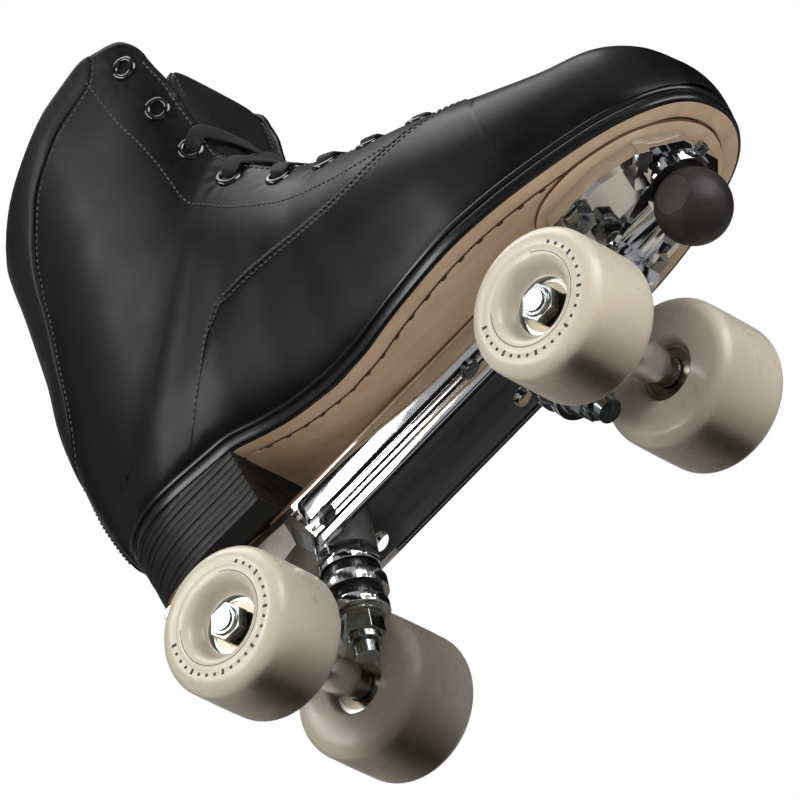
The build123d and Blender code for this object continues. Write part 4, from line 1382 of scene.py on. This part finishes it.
def build_rail_moulding(side):
    """Half-round bar along the outer face of a side rail, with a thin bead below it."""
    section = [(max(y, 16.1), z) for y, z in arc_points((16.1, 70.6), (2.3, 6.3), 96, -90, 32)]
    section += [(16.2, 63.6)] + arc_points((16.3, 62.0), (0.9, 1.3), 90, -90, 16)
    section += [(16.3, 60.4)] + arc_points((16.3, 56.9), (0.75, 2.6), 90, -90, 16)
    section += [(RAIL_FACE_Y, 54.4), (RAIL_FACE_Y, 76.9)]
    ends = ((-52.0, 0.05), (-51.6, 0.6), (-50.6, 0.9), (-48.5, 1.0), (48.0, 1.0), (49.8, 0.9), (50.6, 0.6),
            (51.0, 0.05))
    points = np.array([[(x, side * (RAIL_FACE_Y + (y - RAIL_FACE_Y) * scale), z) for y, z in section]
                       for x, scale in ends])
    faces = grid_faces(len(ends), len(section), closed=True, flip=side > 0)
    first = tuple(range(len(section)))
    last = tuple(index + (len(ends) - 1) * len(section) for index in first)
    faces += [first[::-1], last] if side < 0 else [first, last[::-1]]
    name = "rail_moulding_left" if side > 0 else "rail_moulding_right"
    bar = make_object(name, place(points.reshape(-1, 3)), faces, plate_chrome,
                      smooth_angle=50)
    for x in CROSS_HOLE_X:
        drill(bar, x, 62.0, 4.05)


plate_chrome = chrome("plate_chrome", (0.78, 0.785, 0.80), 0.045, 0.03)
hanger_chrome = chrome("hanger_chrome", (0.80, 0.81, 0.82), 0.16, 0.05)
retainer_chrome = chrome("retainer_chrome", (0.86, 0.87, 0.88), 0.06, 0.02)
axle_steel = chrome("axle_steel", (0.55, 0.56, 0.57), 0.2, 0.02)
bearing_steel = chrome("bearing_steel", (0.42, 0.41, 0.38), 0.18, 0.01)
bearing_shield = chrome("bearing_shield", (0.26, 0.225, 0.17), 0.25, 0.02)
zinc_steel = zinc()
cushion_rubber = rubber("cushion_rubber", (0.008, 0.008, 0.009), 0.22, 0.12)
stop_rubber = rubber("stop_rubber", (0.017, 0.013, 0.012), 0.48, 0.5)
shim_leather = leather("shim_leather", (0.12, 0.060, 0.030), 0.5, 1.2)
insole_board = leather("insole_board", (0.30, 0.20, 0.12), 0.65, 1.4)

build_rail_moulding(-1)
build_rail_moulding(1)

SLOT_MATERIALS = {
    "plate_chrome": plate_chrome, "hanger_chrome": hanger_chrome, "retainer_chrome": retainer_chrome,
    "axle_steel": axle_steel, "bearing_steel": bearing_steel, "bearing_shield": bearing_shield,
    "zinc_steel": zinc_steel, "cushion_rubber": cushion_rubber, "stop_rubber": stop_rubber,
    "shim_leather": shim_leather, "insole_board": insole_board,
}


def finish_cad_nodes():
    """Gives every CAD node that still shows the material of its slot."""
    slots = {entry["node"]: entry["material_slot"] for entry in frame["record"]["subparts"]}
    for name, node in nodes.items():
        if node.hide_render:
            continue
        slot_name = slots.get(name)
        if slot_name in SLOT_MATERIALS:
            node.data.materials.clear()
            node.data.materials.append(SLOT_MATERIALS[slot_name])


finish_cad_nodes()


def soften_edges(name, width):
    """Small rounded edges on a metal node, so that they catch the light."""
    node = nodes[name]
    weld = node.modifiers.new("weld", "WELD")
    weld.merge_threshold = 2e-6
    bevel = node.modifiers.new("edges", "BEVEL")
    bevel.width = width * MM
    bevel.segments = 2
    bevel.limit_method = "ANGLE"
    bevel.angle_limit = math.radians(38)
    bevel.harden_normals = True


soften_edges("plate", 0.45)
for end in ("front", "rear"):
    for part in ("axle_nuts", "kingpin_nut", "kingpin_jam_nut", "cushion_retainers", "cushions", "hanger"):
        soften_edges(f"{end}_{part}", 0.3)
soften_edges("plate_nuts", 0.3)

# The channel between the rails is left as cast, dark and unpolished
cast = Look("cast_channel", (0.2, 0.2, 0.205), 0.42, metallic=0.55)
cast.drive("Base Color", cast.ramp(cast.noise(120, 5, 0.6, (0.15, 1, 1)), 0.3, 0.75, (0.16, 0.16, 0.165),
                                   (0.34, 0.34, 0.35)))
cast.drive("Roughness", cast.grade(cast.noise(300, 4, 0.6, (0.2, 1, 1)), 0.3, 0.8, 0.34, 0.55))
cast.bump(cast.noise(900, 4), 0.2, 0.0002)
plate = nodes["plate"].data
plate.materials.append(cast.material)
for polygon in plate.polygons:
    x, y, z = polygon.center / MM
    if abs(y) < 13.7 and -50 < x - MIDDLE_X < 50 and z < 72:
        polygon.material_index = 1

# The shim is sole leather with stained edges
shim_pads = build_shim()
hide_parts("plate_shim")
